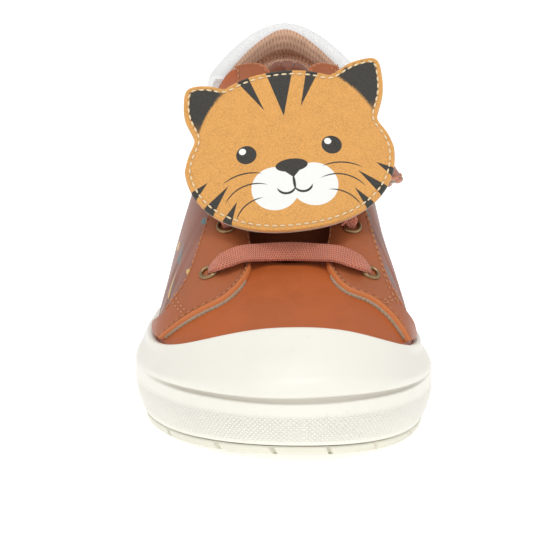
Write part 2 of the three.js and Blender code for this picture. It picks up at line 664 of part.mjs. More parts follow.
function band(rows, width, thickness, lift, count) {
  const at = route(rows);
  const place = (share) => {
    const here = at(share);
    const ahead = at(Math.min(1, share + 0.02)).point;
    const behind = at(Math.max(0, share - 0.02)).point;
    const tangent = unit(minus(ahead, behind));
    const across = unit(cross(tangent, here.normal));
    return { ...here, across, normal: unit(cross(across, tangent)) };
  };
  const grid = (offset) => steps(count).map((share) => {
    const here = place(share);
    return [-1, -0.33, 0.33, 1].map((edge) => {
      const outward = lift(share) + offset + STRAP_FLARE * here.flare * (edge + 1) / 2;
      return add(add(here.point, here.across, edge * width(share) / 2), here.normal, outward);
    });
  });
  return sheet(grid(thickness), grid(0));
}

const OVER_FACING = FACING_THICKNESS + 3 * CLEARANCE;
function elasticGeometry(eyelet) {
  const acrossAt = (side) => side * (1 - sharePast(turnOf(side, eyelet.foot), eyelet.up) / 2);
  const rows = [
    { across: acrossAt(-1), foot: eyelet.foot },
    { across: -0.5, foot: eyelet.crossing },
    { across: 0, foot: eyelet.ridge },
    { across: 0.5, foot: eyelet.crossing },
    { across: acrossAt(1), foot: eyelet.foot },
  ];
  const overEyelet = EYELET_FLANGE_HEIGHT + CLEARANCE;
  const lift = (share) => OVER_FACING + overEyelet * ease(0.5, 0.72, Math.abs(2 * share - 1));
  const width = (share) => ELASTIC_WIDTH * mix(1, ELASTIC_END, ease(0.7, 1, Math.abs(2 * share - 1)));
  return band(rows, width, ELASTIC_THICKNESS, lift, 20);
}
const OVER_ELASTIC = OVER_FACING + ELASTIC_THICKNESS + CLEARANCE;
const strapGeometry = () => band(STRAP_ROUTE, () => STRAP_WIDTH, STRAP_THICKNESS, () => OVER_ELASTIC, 30);

// Eyelets: a turned ring whose barrel goes through the facing and the shell
function eyeletFrame(side, eyelet) {
  const angle = turnOf(side, eyelet.foot);
  const share = sharePast(angle, eyelet.up);
  const normal = surfaceNormal(angle, share);
  const point = skin(angle, share, FACING_THICKNESS + CLEARANCE);
  const axis = new THREE.Vector3(...normal);
  const turn = new THREE.Quaternion().setFromUnitVectors(new THREE.Vector3(0, 1, 0), axis);
  return { point, turn };
}
function eyeletGeometry() {
  const depth = FACING_THICKNESS + CLEARANCE + UPPER_WALL;
  const top = CLEARANCE + EYELET_FLANGE_HEIGHT;
  const profile = [
    [EYELET_HOLE_RADIUS, -depth], [EYELET_BARREL_RADIUS, -depth], [EYELET_BARREL_RADIUS, CLEARANCE],
    [EYELET_FLANGE_RADIUS, CLEARANCE], [EYELET_FLANGE_RADIUS, mix(CLEARANCE, top, 0.4)],
    [mix(EYELET_FLANGE_RADIUS, EYELET_HOLE_RADIUS, 0.4), top], [EYELET_HOLE_RADIUS, mix(CLEARANCE, top, 0.5)],
    [EYELET_HOLE_RADIUS, -depth],
  ];
  return plain(new THREE.LatheGeometry(profile.map(([r, h]) => new THREE.Vector2(r, h)), EYELET_SIDES));
}
function eyeletHole(side, eyelet) {
  const { point, turn } = eyeletFrame(side, eyelet);
  const radius = EYELET_BARREL_RADIUS + CLEARANCE;
  const length = 4 * (UPPER_WALL + FACING_THICKNESS);
  const tool = new THREE.CylinderGeometry(radius, radius, length, EYELET_SIDES);
  tool.applyQuaternion(turn);
  tool.translate(...point);
  return solidOf(plain(tool));
}

// Face patch: an animal's head with two ears, bent a little over the strap
const headReach = (angle) => {
  const x = Math.abs(Math.cos(angle)) / (PATCH_WIDTH / 2);
  const y = Math.abs(Math.sin(angle)) / (PATCH_HEIGHT / 2);
  return (x ** HEAD_FULLNESS + y ** HEAD_FULLNESS) ** (-1 / HEAD_FULLNESS);
};
const lateralEar = column(EARS, 'angle', 'lateral');
const medialEar = column(EARS, 'angle', 'medial');
function patchReach(angle) {
  const degrees = THREE.MathUtils.radToDeg(Math.atan2(Math.sin(angle), Math.abs(Math.cos(angle))));
  if (degrees < EARS[0].angle || degrees > EARS[EARS.length - 1].angle) return headReach(angle);
  const ear = Math.cos(angle) < 0 ? lateralEar : medialEar;
  return ear(degrees) * PATCH_WIDTH / 2;
}
const PATCH_FOOT = 0.333;
function patchFrame() {
  const middle = ridge(angleOf(PATCH_FOOT));
  const slope = cross(middle.normal, [1, 0, 0]);
  const roll = THREE.MathUtils.degToRad(PATCH_ROLL);
  const right = add([Math.cos(roll), 0, 0], slope, Math.sin(roll));
  const up = add([-Math.sin(roll), 0, 0], slope, Math.cos(roll));
  const lift = OVER_ELASTIC + STRAP_THICKNESS + PATCH_GAP;
  return { centre: add(middle.point, middle.normal, lift), right, up, normal: middle.normal };
}
function patchGeometry() {
  const frame = patchFrame();
  const place = (x, y, offset) => {
    const sag = -(x * x) / (2 * PATCH_BEND_RADIUS);
    const flat = add(add(frame.centre, frame.right, x), frame.up, y);
    return add(flat, frame.normal, sag + offset);
  };
  const grid = (offset) => [0, 0.4, 0.75, 1].map((share) => steps(71).map((turn) => {
    const angle = turn * 2 * Math.PI * 71 / 72;
    const reach = patchReach(angle) * share;
    return place(reach * Math.cos(angle), reach * Math.sin(angle), offset);
  }));
  return sheet(grid(PATCH_THICKNESS), grid(0), { wrap: true });
}

// Materials, with the colours of the finished shoe
const material = (color, roughness, metalness = 0) => {
  return new THREE.MeshStandardMaterial({ color, roughness, metalness });
};
const RUBBER = material(0xeeece0, 0.55);
const LEATHER = material(0xb06438, 0.45);
const DARK_LEATHER = material(0x8a4a2a, 0.55);
const WHITE_FABRIC = material(0xf2f2f0, 0.8);
const INSOLE_FABRIC = material(0xe8bd98, 0.9);
const ELASTIC = material(0xc67a63, 0.85);
const NUBUCK = material(0xe2a860, 0.9);
const BRASS = material(0x96805a, 0.35, 1);

const shoe = new THREE.Group();
function place(name, geometry, finish) {
  const mesh = new THREE.Mesh(geometry, finish);
  mesh.name = name;
  shoe.add(mesh);
  return mesh;
}

const holes = [-1, 1].flatMap((side) => EYELETS.map((eyelet) => eyeletHole(side, eyelet)));
place('outsole', outsoleGeometry(), RUBBER);
place('cupsole', cupsoleGeometry(), RUBBER);
place('upper', geometryOf(cut(solidOf(upperGeometry()), holes)), LEATHER);
place('insole', insoleGeometry(), INSOLE_FABRIC);
place('tongue', tongueGeometry(), DARK_LEATHER);
place('collar', collarGeometry(), WHITE_FABRIC);
for (const [side, word] of [[-1, 'lateral'], [1, 'medial']]) {
  place(`facing_${word}`, geometryOf(cut(facingSolid(side), holes)), LEATHER);
  for (const eyelet of EYELETS) {
    const { point, turn } = eyeletFrame(side, eyelet);
    const ringMesh = place(`eyelet_${word}_${eyelet.row}`, eyeletGeometry(), BRASS);
    ringMesh.position.set(...point);
    ringMesh.quaternion.copy(turn);
  }
}
for (const eyelet of EYELETS) place(`elastic_${eyelet.row}`, elasticGeometry(eyelet), ELASTIC);
place('strap', strapGeometry(), LEATHER);
place('face_patch', patchGeometry(), NUBUCK);

// The origin is on the floor under the middle of the shoe's box
shoe.updateMatrixWorld(true);
const box = new THREE.Box3().setFromObject(shoe);
shoe.position.set(-(box.min.x + box.max.x) / 2, -(box.min.y + box.max.y) / 2, 0);

export default shoe;
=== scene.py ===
"""A toddler's mid-top sneaker for the right foot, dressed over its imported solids.

Lengths are in millimetres until a mesh is made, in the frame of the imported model: +Z up, the toe to
-Y, the heel to +Y, the outer side of the foot to -X and the inner side to +X.
"""

import math

import bmesh
import bpy
import numpy as np
from mathutils import Matrix, Vector


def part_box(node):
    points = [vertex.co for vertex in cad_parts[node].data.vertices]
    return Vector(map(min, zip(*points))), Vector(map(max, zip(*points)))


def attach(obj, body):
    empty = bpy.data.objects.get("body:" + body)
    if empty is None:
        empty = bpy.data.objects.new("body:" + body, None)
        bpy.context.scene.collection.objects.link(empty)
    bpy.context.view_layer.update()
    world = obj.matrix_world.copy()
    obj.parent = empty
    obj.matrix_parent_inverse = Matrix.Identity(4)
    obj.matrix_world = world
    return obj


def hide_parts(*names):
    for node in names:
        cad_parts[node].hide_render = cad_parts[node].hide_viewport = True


bl_info = {
    "name": "Mid-top sneaker",
    "version": (1, 0, 0),
    "blender": (4, 5, 0),
    "location": "View3D > Sidebar > Sneaker",
    "description": "Leather, rubber, elastic, stitches and face patch of a toddler's sneaker",
    "category": "Add Mesh",
}

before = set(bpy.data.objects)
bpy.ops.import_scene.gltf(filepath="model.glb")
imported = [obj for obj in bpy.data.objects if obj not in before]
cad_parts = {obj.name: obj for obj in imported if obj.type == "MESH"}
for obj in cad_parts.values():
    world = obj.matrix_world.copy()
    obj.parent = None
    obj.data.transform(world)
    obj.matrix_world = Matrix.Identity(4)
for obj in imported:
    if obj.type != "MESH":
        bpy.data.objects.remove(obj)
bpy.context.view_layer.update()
MM = 0.001


def table(names, *rows):
    """Rows with named columns."""
    return [dict(zip(names.split(), row)) for row in rows]


# Sizes of the shoe, as its solids have them
LENGTH = 160.0
BALL_WIDTH = 71.0
VAMP_HEIGHT = 37.2
INSTEP_HEIGHT = 78.8
COLLAR_HEIGHT = 73.0
HEEL_HEIGHT = 82.0
CLEARANCE = 0.3
OUTSOLE_THICKNESS = 2.0
TREAD_DEPTH = 0.9
TREAD_WIDTH = 2.4
TREAD_PITCH = 11.0
TREAD_TURN = (0.12, -0.08)
NOTCH_WIDTH = 1.0
NOTCH_DEPTH = 1.1
NOTCH_COUNT = 18
NOTCH_SLANT = 0.55
BED_THICKNESS = 6.5
HEEL_LIFT = 2.0
TOE_SPRING = 2.2
HEEL_SPRING = 1.2
ARCH_RISE = 2.0
RIM_INSET = 2.3
SIDE_HEIGHT = 19.5
CAP_HEIGHT = 27.6
SOLE_EDGE_THICKNESS = 1.9
GROOVE_RISE = 13.6
RIDGE_RELIEF = 0.5
FEATHER_INSET = 4.5
UPPER_WALL = 1.8
FACING_THICKNESS = 1.2
COLLAR_DEPTH = 9.0
COLLAR_THICKNESS = 4.6
COLLAR_PROUD = 0.7
COLLAR_START = 0.76
TONGUE_THICKNESS = 2.2
TONGUE_LENGTHENED = 3.0
INSOLE_THICKNESS = 3.0
EYELET_FLANGE_RADIUS = 2.35
EYELET_HOLE_RADIUS = 1.35
EYELET_BARREL_RADIUS = 1.75
ELASTIC_WIDTH = 5.0
ELASTIC_THICKNESS = 1.2
STRAP_WIDTH = 16.0
STRAP_THICKNESS = 1.8
STRAP_FLARE = 3.7
PATCH_WIDTH = 51.0
PATCH_HEIGHT = 43.4
PATCH_THICKNESS = 1.8
PATCH_BEND_RADIUS = 85.0
PATCH_ROLL = 8.0
PATCH_FOOT = 0.333
HEAD_FULLNESS = 2.15

OUTLINE = table(
    "along lateral medial",
    (0.00, 0.70, 0.92),
    (0.15, 0.87, 0.96),
    (0.33, 1.01, 0.985),
    (0.50, 0.97, 0.87),
    (0.66, 0.86, 0.79),
    (0.85, 0.76, 0.77),
    (1.00, 0.74, 0.75),
)
TOE_RUN = 0.30
TOE_FULLNESS = 2.15
HEEL_RUN = 0.20
HEEL_FULLNESS = 2.3

# The upper's ribs: where they start and end and how they bend, in the columns of the shoe's source
THROAT_RIBS = table(
    "foot top lateral medial height",
    (0.00, 0.340, -0.015, 0.015, 0.00),
    (0.04, 0.342, 0.060, 0.090, 0.01),
    (0.12, 0.353, 0.116, 0.144, 0.05),
    (0.24, 0.406, 0.128, 0.158, 0.26),
    (0.38, 0.477, 0.098, 0.126, 0.57),
    (0.52, 0.552, 0.042, 0.070, 0.92),
    (0.64, 0.600, 0.115, 0.130, 1.00),
)
COLLAR_RIBS = table(
    "foot top lateral medial height",
    (0.75, 0.675, 0.238, 0.254, 0.165),
    (0.86, 0.788, 0.250, 0.258, 0.06),
    (0.95, 0.888, 0.165, 0.165, 0.54),
    (1.00, 0.938, 0.000, 0.000, 1.00),
)
RIB_SHAPES = table(
    "foot out up drop reach cap",
    (0.00, 0.020, 0.50, 0.20, 0.370, 1.00),
    (0.04, 0.022, 0.48, 0.20, 0.340, 0.84),
    (0.12, 0.028, 0.42, 0.22, 0.300, 0.44),
    (0.24, 0.042, 0.33, 0.21, 0.225, 0.03),
    (0.38, 0.036, 0.29, 0.18, 0.200, 0.00),
    (0.52, 0.028, 0.32, 0.10, 0.195, 0.00),
    (0.64, 0.012, 0.33, 0.165, 0.165, 0.00),
    (0.75, 0.008, 0.38, 0.29, 0.065, 0.02),
    (0.86, 0.020, 0.40, 0.32, 0.045, 0.06),
    (0.95, 0.028, 0.38, 0.33, 0.055, 0.12),
    (1.00, 0.022, 0.34, 0.34, 0.055, 0.15),
)
FACING_FRONT = table(
    "lateralFoot lateralUp medialFoot medialUp",
    (0.118, 1.00, 0.118, 1.00),
    (0.072, 0.83, 0.072, 0.88),
    (0.070, 0.63, 0.061, 0.70),
    (0.093, 0.42, 0.075, 0.53),
    (0.139, 0.27, 0.125, 0.40),
    (0.194, 0.12, 0.166, 0.22),
    (0.243, 0.00, 0.204, 0.00),
)
FACING_BACK = table(
    "lateralFoot lateralUp medialFoot medialUp",
    (0.685, 1.00, 0.685, 1.00),
    (0.600, 0.84, 0.600, 0.84),
    (0.430, 0.73, 0.430, 0.73),
    (0.316, 0.64, 0.316, 0.64),
    (0.248, 0.42, 0.240, 0.44),
    (0.280, 0.15, 0.250, 0.20),
    (0.375, 0.00, 0.330, 0.00),
)
EYELETS = table(
    "row foot up crossing ridge",
    (1, 0.180, 0.565, 0.100, 0.060),
    (2, 0.241, 0.800, 0.228, 0.215),
)
STRAP_ROUTE = table(
    "across foot flare",
    (-0.640, 0.380, 0.0),
    (-0.500, 0.355, 0.0),
    (0.000, 0.345, 0.0),
    (0.500, 0.370, 1.0),
    (0.642, 0.440, 1.0),
    (0.707, 0.550, 0.5),
    (0.715, 0.650, 0.0),
)
EARS = table(
    "angle lateral medial",
    (0.0, 0.992, 0.995),
    (7.0, 0.955, 0.970),
    (17.0, 0.905, 0.925),
    (22.0, 0.950, 0.985),
    (29.0, 1.055, 1.115),
    (36.5, 1.140, 1.245),
    (44.0, 1.200, 1.350),
    (48.5, 1.120, 1.235),
    (52.5, 1.005, 1.090),
    (56.0, 0.865, 0.895),
)
TONGUE_FEET = [0.60, 0.52, 0.44, 0.36, 0.29, 0.23, 0.175, 0.13, 0.09, 0.05, 0.02]

# The printed face, in millimetres from the middle of the patch. side: 0 for one in the middle, 1 for
# one on each side.
EYE = {"x": 10.35, "y": 0.1, "radius": 2.45}
GLINT = {"x": -0.8, "y": 1.05, "radius": 0.85}
MUZZLE = {"x": 4.75, "y": -10.1, "width": 5.7, "height": 5.8}
NOSE = {"y": -4.4, "width": 3.9, "height": 1.75, "tip": -7.7}
STRIPES = table(
    "side tip base half_width",
    (0, (0.0, 9.1), (0.5, 21.5), 3.3),
    (1, (4.4, 11.2), (8.1, 19.7), 1.3),
    (1, (20.4, -5.1), (24.3, -7.8), 1.25),
    (1, (15.7, -7.2), (21.3, -12.9), 1.55),
    (1, (14.2, -11.8), (17.1, -16.4), 1.15),
)
LINES = table(
    "start middle end width",
    ((16.9, -6.4), (12.0, -4.8), (7.3, -5.5), 0.36),
    ((17.0, -11.7), (12.0, -8.1), (6.4, -8.7), 0.36),
    ((15.0, -16.6), (12.2, -13.2), (7.9, -11.9), 0.36),
    ((-0.15, -10.2), (2.3, -11.75), (4.3, -10.0), 0.62),
)
EAR_PRINT_START = {"lateral": 22.4, "medial": 23.7}
EAR_PRINT_MARGIN = 1.3

# The upper's creases: where each crosses its height, how it leans, and its depth in millimetres
FLEX_TROUGHS = table(
    "along lean height depth",
    (0.31, 0.05, 0.30, 0.30),
    (0.36, 0.04, 0.22, 0.22),
    (0.70, -0.06, 0.55, 0.35),
)

# The groove under the cap: it dips in the middle of the toe by GROOVE_DIP
GROOVE_CUT = 0.65
GROOVE_HALF = 0.26
GROOVE_SHADE = 0.20
GROOVE_DIP = 1.2
GROOVE_DIP_REACH = 22.0

# How far the lining swells to meet the collar's pad
LINING_SWELL = 1.9

# How far the backing looks out under a facing's front edge
RAW_EDGE_WIDTH = 0.42

# How the elastic bars lie: their arch over the facings and how often their path is smoothed
BAR_ARCH = 1.0
BAR_RELAXING = 60

# Fineness of the finished meshes
ROUND_STEPS = 384
TREAD_STEPS = 1000

# Vectors and interpolation


def unit(vectors):
    return vectors / np.linalg.norm(vectors, axis=-1, keepdims=True)


def dot(a, b):
    return (a * b).sum(axis=-1, keepdims=True)


def mix(a, b, k):
    return a + (b - a) * k


def ease(low, high, value):
    share = np.clip((np.asarray(value, float) - low) / (high - low), 0, 1)
    return share * share * (3 - 2 * share)


def point3(x, y, z):
    return np.stack(np.broadcast_arrays(np.asarray(x, float), y, z), axis=-1)


UP = np.array([0.0, 0.0, 1.0])


def column(rows, key, name):
    """A smooth curve through one column of a table, over another column or over the row number."""
    at = np.array([row[key] for row in rows]) if key else np.linspace(0, 1, len(rows))
    values = np.array([row[name] for row in rows], float)
    low = np.maximum(np.arange(len(rows)) - 1, 0)
    high = np.minimum(np.arange(len(rows)) + 1, len(rows) - 1)
    slope = (values[high] - values[low]) / (at[high] - at[low])

    def curve(value):
        value = np.asarray(value, float)
        i = np.searchsorted(at[1:-1], value)
        span = at[i + 1] - at[i]
        k = np.clip((value - at[i]) / span, 0, 1)
        start = (1 + 2 * k) * (1 - k) ** 2 * values[i] + k * (1 - k) ** 2 * span * slope[i]
        end = k * k * (3 - 2 * k) * values[i + 1] - k * k * (1 - k) * span * slope[i + 1]
        return start + end

    return curve


def closed_spline(angles, values):
    """A cubic spline with the period of a full turn."""
    angles, values = np.array(angles), np.array(values, float)
    count = len(angles)
    gap = np.append(np.diff(angles), angles[0] + 2 * np.pi - angles[-1])
    matrix = np.zeros((count, count))
    right = np.zeros(count)
    for i in range(count):
        before, after = (i - 1) % count, (i + 1) % count
        matrix[i, before] += gap[before]
        matrix[i, i] += 2 * (gap[before] + gap[i])
        matrix[i, after] += gap[i]
        right[i] = 6 * ((values[after] - values[i]) / gap[i] - (values[i] - values[before]) / gap[before])
    bend = np.linalg.solve(matrix, right)

    def curve(angle):
        turn = np.mod(np.asarray(angle, float), 2 * np.pi)
        i = np.searchsorted(angles, turn, side="right") - 1
        after = (i + 1) % count
        b = (turn - angles[i]) / gap[i]
        a = 1 - b
        swell = ((a**3 - a) * bend[i] + (b**3 - b) * bend[after]) * gap[i] ** 2 / 6
        return a * values[i] + b * values[after] + swell

    return curve


# The shoe's surface, the same as in its source


def along_of(angle):
    return (1 - np.cos(angle)) / 2


def angle_of(along):
    return np.arccos(np.clip(1 - 2 * np.asarray(along, float), -1, 1))


def y_of(along):
    return (along - 0.5) * LENGTH


def rounded(share, fullness):
    return (1 - (1 - np.clip(share, 0, 1)) ** fullness) ** (1 / fullness)


outline_lateral = column(OUTLINE, "along", "lateral")
outline_medial = column(OUTLINE, "along", "medial")


def outline(angle):
    along = along_of(angle)
    half = (outline_lateral(along) + outline_medial(along)) / 2
    centre = (outline_medial(along) - outline_lateral(along)) / 2
    closing = rounded(along / TOE_RUN, TOE_FULLNESS) * rounded((1 - along) / HEEL_RUN, HEEL_FULLNESS)
    side = np.where(np.sin(angle) >= 0, -1, 1)
    return point3((centre + side * half * closing) * BALL_WIDTH / 2, y_of(along), 0)


def outline_normal(angle):
    step = 0.02
    return unit(np.cross(UP, outline(angle + step) - outline(angle - step)))


def sole_bottom(along):
    toe = TOE_SPRING * np.clip(1 - along / 0.2, 0, 1) ** 1.7
    heel = HEEL_SPRING * np.clip((along - 0.94) / 0.06, 0, 1) ** 1.5
    arch = ARCH_RISE * np.sin(np.pi * np.clip((along - 0.44) / 0.24, 0, 1)) ** 2
    return toe + heel + arch


def cup_bottom(along):
    return sole_bottom(along) + OUTSOLE_THICKNESS + CLEARANCE


def bed_height(along):
    return cup_bottom(along) + BED_THICKNESS + HEEL_LIFT * ease(0.35, 0.8, along)


def rib_column(rows, lateral, medial=None):
    back = rows[-2:0:-1]
    angles = [float(angle_of(rib["foot"])) for rib in rows]
    angles += [2 * math.pi - float(angle_of(rib["foot"])) for rib in back]
    values = [lateral(rib) for rib in rows] + [(medial or lateral)(rib) for rib in back]
    return closed_spline(angles, values)


TOPS = [dict(rib, z=mix(VAMP_HEIGHT, INSTEP_HEIGHT, rib["height"])) for rib in THROAT_RIBS]
TOPS += [dict(rib, z=mix(COLLAR_HEIGHT, HEEL_HEIGHT, rib["height"])) for rib in COLLAR_RIBS]
top_x = rib_column(TOPS, lambda rib: -rib["lateral"] * BALL_WIDTH, lambda rib: rib["medial"] * BALL_WIDTH)
top_y = rib_column(TOPS, lambda rib: y_of(rib["top"]))
top_z = rib_column(TOPS, lambda rib: rib["z"])
rib_out = rib_column(RIB_SHAPES, lambda rib: rib["out"] * BALL_WIDTH)
rib_up = rib_column(RIB_SHAPES, lambda rib: rib["up"])
rib_drop = rib_column(RIB_SHAPES, lambda rib: rib["drop"])
rib_reach = rib_column(RIB_SHAPES, lambda rib: rib["reach"] * BALL_WIDTH)
rib_cap = rib_column(RIB_SHAPES, lambda rib: rib["cap"])


def feather(angle):
    points = outline(angle) - FEATHER_INSET * outline_normal(angle)
    points[..., 2] = bed_height(along_of(angle)) + CLEARANCE
    return points


def bezier(a, b, c, d, k):
    k = np.asarray(k, float)[..., None]
    return a * (1 - k) ** 3 + b * 3 * (1 - k) ** 2 * k + c * 3 * (1 - k) * k * k + d * k**3


def rib_handles(angle):
    start = feather(angle)
    end = point3(top_x(angle), top_y(angle), top_z(angle))
    normal = outline_normal(angle)
    height = (end - start)[..., 2:]
    flat = (start - end) * np.array([1, 1, 0])
    across = unit(flat + 6 * normal)
    first = start + normal * rib_out(angle)[..., None] + UP * rib_up(angle)[..., None] * height
    second = end + across * rib_reach(angle)[..., None] - UP * rib_drop(angle)[..., None] * height
    return start, first, second, end


def rib_point(angle, share):
    angle, share = np.broadcast_arrays(np.asarray(angle, float), np.asarray(share, float))
    return bezier(*rib_handles(angle), share)


THROAT_FOOT = 0.06
RIDGE_SLOPE = unit(np.array([0, LENGTH * 0.2, INSTEP_HEIGHT - VAMP_HEIGHT]))
RIDGE_NORMAL = np.cross([1, 0, 0], RIDGE_SLOPE)


def ridge(angle):
    foot = np.maximum(THROAT_FOOT, along_of(angle))
    turn = angle_of(foot)
    middle = (rib_point(turn, 1) + rib_point(2 * np.pi - turn, 1)) / 2
    crown = mix(0.4, 3.2, ease(0.12, 0.36, foot))
    return middle + RIDGE_NORMAL * crown[..., None]


def over_throat(angle, share):
    end = rib_point(angle, 1)
    arrive = unit(end - rib_point(angle, 0.97))
    top = ridge(angle)
    span = end - top
    flat = span - RIDGE_NORMAL * dot(span, RIDGE_NORMAL)
    reach = 0.4 * np.linalg.norm(span, axis=-1, keepdims=True)
    return bezier(end, end + arrive * reach, top + 0.4 * flat, top, share)


def surface(angle, share):
    angle, share = np.broadcast_arrays(np.asarray(angle, float), np.asarray(share, float))
    low = rib_point(angle, np.minimum(share, 1))
    high = over_throat(angle, np.maximum(share - 1, 0))
    return np.where((share <= 1)[..., None], low, high)


def surface_normal(angle, share):
    angle, share = np.broadcast_arrays(np.asarray(angle, float), np.asarray(share, float))
    step = 0.012
    high = np.minimum(share + step, np.where(share <= 1, 1, 2))
    low = np.maximum(share - step, np.where(share <= 1, 0, 1))
    rising = surface(angle, high) - surface(angle, low)
    turning = surface(angle + step, share) - surface(angle - step, share)
    normal = np.cross(rising, turning)
    length = np.linalg.norm(normal, axis=-1, keepdims=True)
    normal = normal / np.maximum(length, 1e-9)
    return np.where((share > 1.98)[..., None], RIDGE_NORMAL, normal)


def skin(angle, share, offset):
    return surface(angle, share) + surface_normal(angle, share) * np.asarray(offset, float)[..., None]


def share_at_height(angle, height):
    low = np.zeros(np.shape(angle))
    high = np.ones(np.shape(angle))
    for _ in range(26):
        middle = (low + high) / 2
        under = rib_point(angle, middle)[..., 2] < height
        low = np.where(under, middle, low)
        high = np.where(under, high, middle)
    return low


EDGE_TURNS = np.linspace(0, 2 * np.pi, 721)
EDGE_SHARES = share_at_height(EDGE_TURNS, mix(SIDE_HEIGHT, CAP_HEIGHT, rib_cap(EDGE_TURNS)))


def edge_share(angle):
    return np.interp(np.mod(angle, 2 * np.pi), EDGE_TURNS, EDGE_SHARES)


def share_past(angle, up):
    return mix(edge_share(angle), 1, up)


def turn_of(side, foot):
    turn = angle_of(foot)
    return np.where(np.asarray(side) < 0, turn, 2 * np.pi - turn)


def shell_top(angle):
    drop = ease(COLLAR_START - 0.06, COLLAR_START, along_of(angle)) * COLLAR_DEPTH
    length = 1.15 * np.linalg.norm(rib_point(angle, 1) - rib_point(angle, 0), axis=-1)
    return 1 - drop / length


def facing_place(side, across, down):
    """Angle and share on the shoe's surface of a place on a facing."""
    word = "lateral" if side < 0 else "medial"
    front = [column(FACING_FRONT, None, word + name)(down) for name in ("Foot", "Up")]
    back = [column(FACING_BACK, None, word + name)(down) for name in ("Foot", "Up")]
    foot, up = (mix(a, b, across) for a, b in zip(front, back))
    angle = turn_of(side, foot)
    return angle, mix(edge_share(angle) + 0.02, 1, up)


def route(rows):
    across, foot = column(rows, None, "across"), column(rows, None, "foot")
    flare = column(rows, None, "flare") if "flare" in rows[0] else (lambda share: 0 * share)

    def at(share):
        place = across(share)
        angle = turn_of(place, foot(share))
        rib = 2 * (1 - np.abs(place))
        return surface(angle, rib), surface_normal(angle, rib), flare(share)

    return at


def band_frames(rows, shares):
    """Points, cross directions, normals and flares along a band that lies over the instep."""
    at = route(rows)
    point, normal, flare = at(shares)
    tangent = unit(at(np.minimum(1, shares + 0.02))[0] - at(np.maximum(0, shares - 0.02))[0])
    across = unit(np.cross(tangent, normal))
    return point, across, unit(np.cross(across, tangent)), flare


OVER_FACING = FACING_THICKNESS + 3 * CLEARANCE
OVER_ELASTIC = OVER_FACING + ELASTIC_THICKNESS + CLEARANCE

# Meshes

WORDS = {-1: "lateral", 1: "medial"}
own_turns = np.linspace(0, 2 * np.pi, 721)
own_sides = outline(own_turns)[:, 0]
moulding_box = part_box("cupsole")
frame_middle = (moulding_box[0].x + moulding_box[1].x) / 2 / MM
own_middle = (own_sides.min() + own_sides.max()) / 2
SHIFT = np.array([frame_middle - own_middle, 0, 0])


def grid_faces(rows, cols, wrap_rows=False, wrap_cols=False, start=0, flip=False):
    """Faces over a grid of points, and the corner numbers of their UV places."""
    r = np.arange(rows if wrap_rows else rows - 1)
    c = np.arange(cols if wrap_cols else cols - 1)
    r, c = np.meshgrid(r, c, indexing="ij")
    corners = [(r, c), (r, c + 1), (r + 1, c + 1), (r + 1, c)]
    if flip:
        corners.reverse()
    points = [start + (i % rows) * cols + (j % cols) for i, j in corners]
    places = [np.stack([i, j], -1) for i, j in corners]
    faces = np.stack(points, -1).reshape(-1, 4)
    return faces, np.stack(places, -2).reshape(-1, 4, 2)


def make_piece(name, points, faces, places, materials, slots=None, attributes=None, shade_sharp=40):
    """A mesh object from points in millimetres. places: each face corner's UV in millimetres."""
    mesh = bpy.data.meshes.new(name)
    mesh.vertices.add(len(points))
    mesh.vertices.foreach_set("co", ((points + SHIFT) * MM).astype(np.float32).ravel())
    mesh.loops.add(faces.size)
    mesh.loops.foreach_set("vertex_index", faces.astype(np.int32).ravel())
    mesh.polygons.add(len(faces))
    mesh.polygons.foreach_set("loop_start", np.arange(0, faces.size, 4, dtype=np.int32))
    mesh.update(calc_edges=True)
    layer = mesh.uv_layers.new(name="cut")
    layer.data.foreach_set("uv", np.asarray(places, np.float32).ravel())
    if slots is not None:
        mesh.polygons.foreach_set("material_index", np.asarray(slots, np.int32))
    for key, values in (attributes or {}).items():
        made = mesh.attributes.new(key, "FLOAT", "POINT")
        made.data.foreach_set("value", np.asarray(values, np.float32).ravel())
    for material in materials:
        mesh.materials.append(material)
    work = bmesh.new()
    work.from_mesh(mesh)
    bmesh.ops.remove_doubles(work, verts=work.verts, dist=1e-6)
    bmesh.ops.dissolve_degenerate(work, edges=work.edges, dist=1e-7)
    bmesh.ops.recalc_face_normals(work, faces=work.faces)
    work.to_mesh(mesh)
    work.free()
    mesh.polygons.foreach_set("use_smooth", np.ones(len(mesh.polygons), bool))
    mesh.set_sharp_from_angle(angle=math.radians(shade_sharp))
    piece = bpy.data.objects.new(name, mesh)
    bpy.context.scene.collection.objects.link(piece)
    return piece


def loft(name, loops, uv, materials, row_slots=None, closed=False, strips=False, attributes=None):
    """Closed loops joined in a row. closed joins the last to the first, strips fills both ends in."""
    rows, cols = loops.shape[:2]
    faces, corners = grid_faces(rows, cols, wrap_rows=closed, wrap_cols=True)
    u, v = uv
    places = np.stack([u[corners[..., 1]], v[np.minimum(corners[..., 0], len(v) - 1)]], -1)
    slots = np.zeros(len(faces), int)
    if row_slots is not None:
        slots = np.asarray(row_slots)[corners[:, 0, 0]]
    if strips:
        half = cols // 2
        for row in (0, rows - 1):
            pairs = np.arange(half)
            left, right = row * cols + pairs, row * cols + pairs + 1
            far, farther = row * cols + (cols - pairs) % cols, row * cols + cols - pairs - 1
            cap = np.stack([left, right, farther, far], -1)
            flat = loops.reshape(-1, 3)[cap][..., :2]
            faces = np.concatenate([faces, cap])
            places = np.concatenate([places, flat])
            slots = np.concatenate([slots, np.full(len(cap), slots[0] if row == 0 else slots[-1])])
    return make_piece(name, loops.reshape(-1, 3), faces, places, materials, slots, attributes)


def end_caps(rows, cols):
    """Faces that close the first and the last loop of a loft."""
    fans = []
    for row in (0, rows - 1):
        index = row * cols + np.arange(cols // 2)
        mirror = row * cols + cols - 1 - np.arange(cols // 2)
        fans.append(np.stack([index[:-1], index[1:], mirror[1:], mirror[:-1]], -1))
    return np.concatenate(fans)


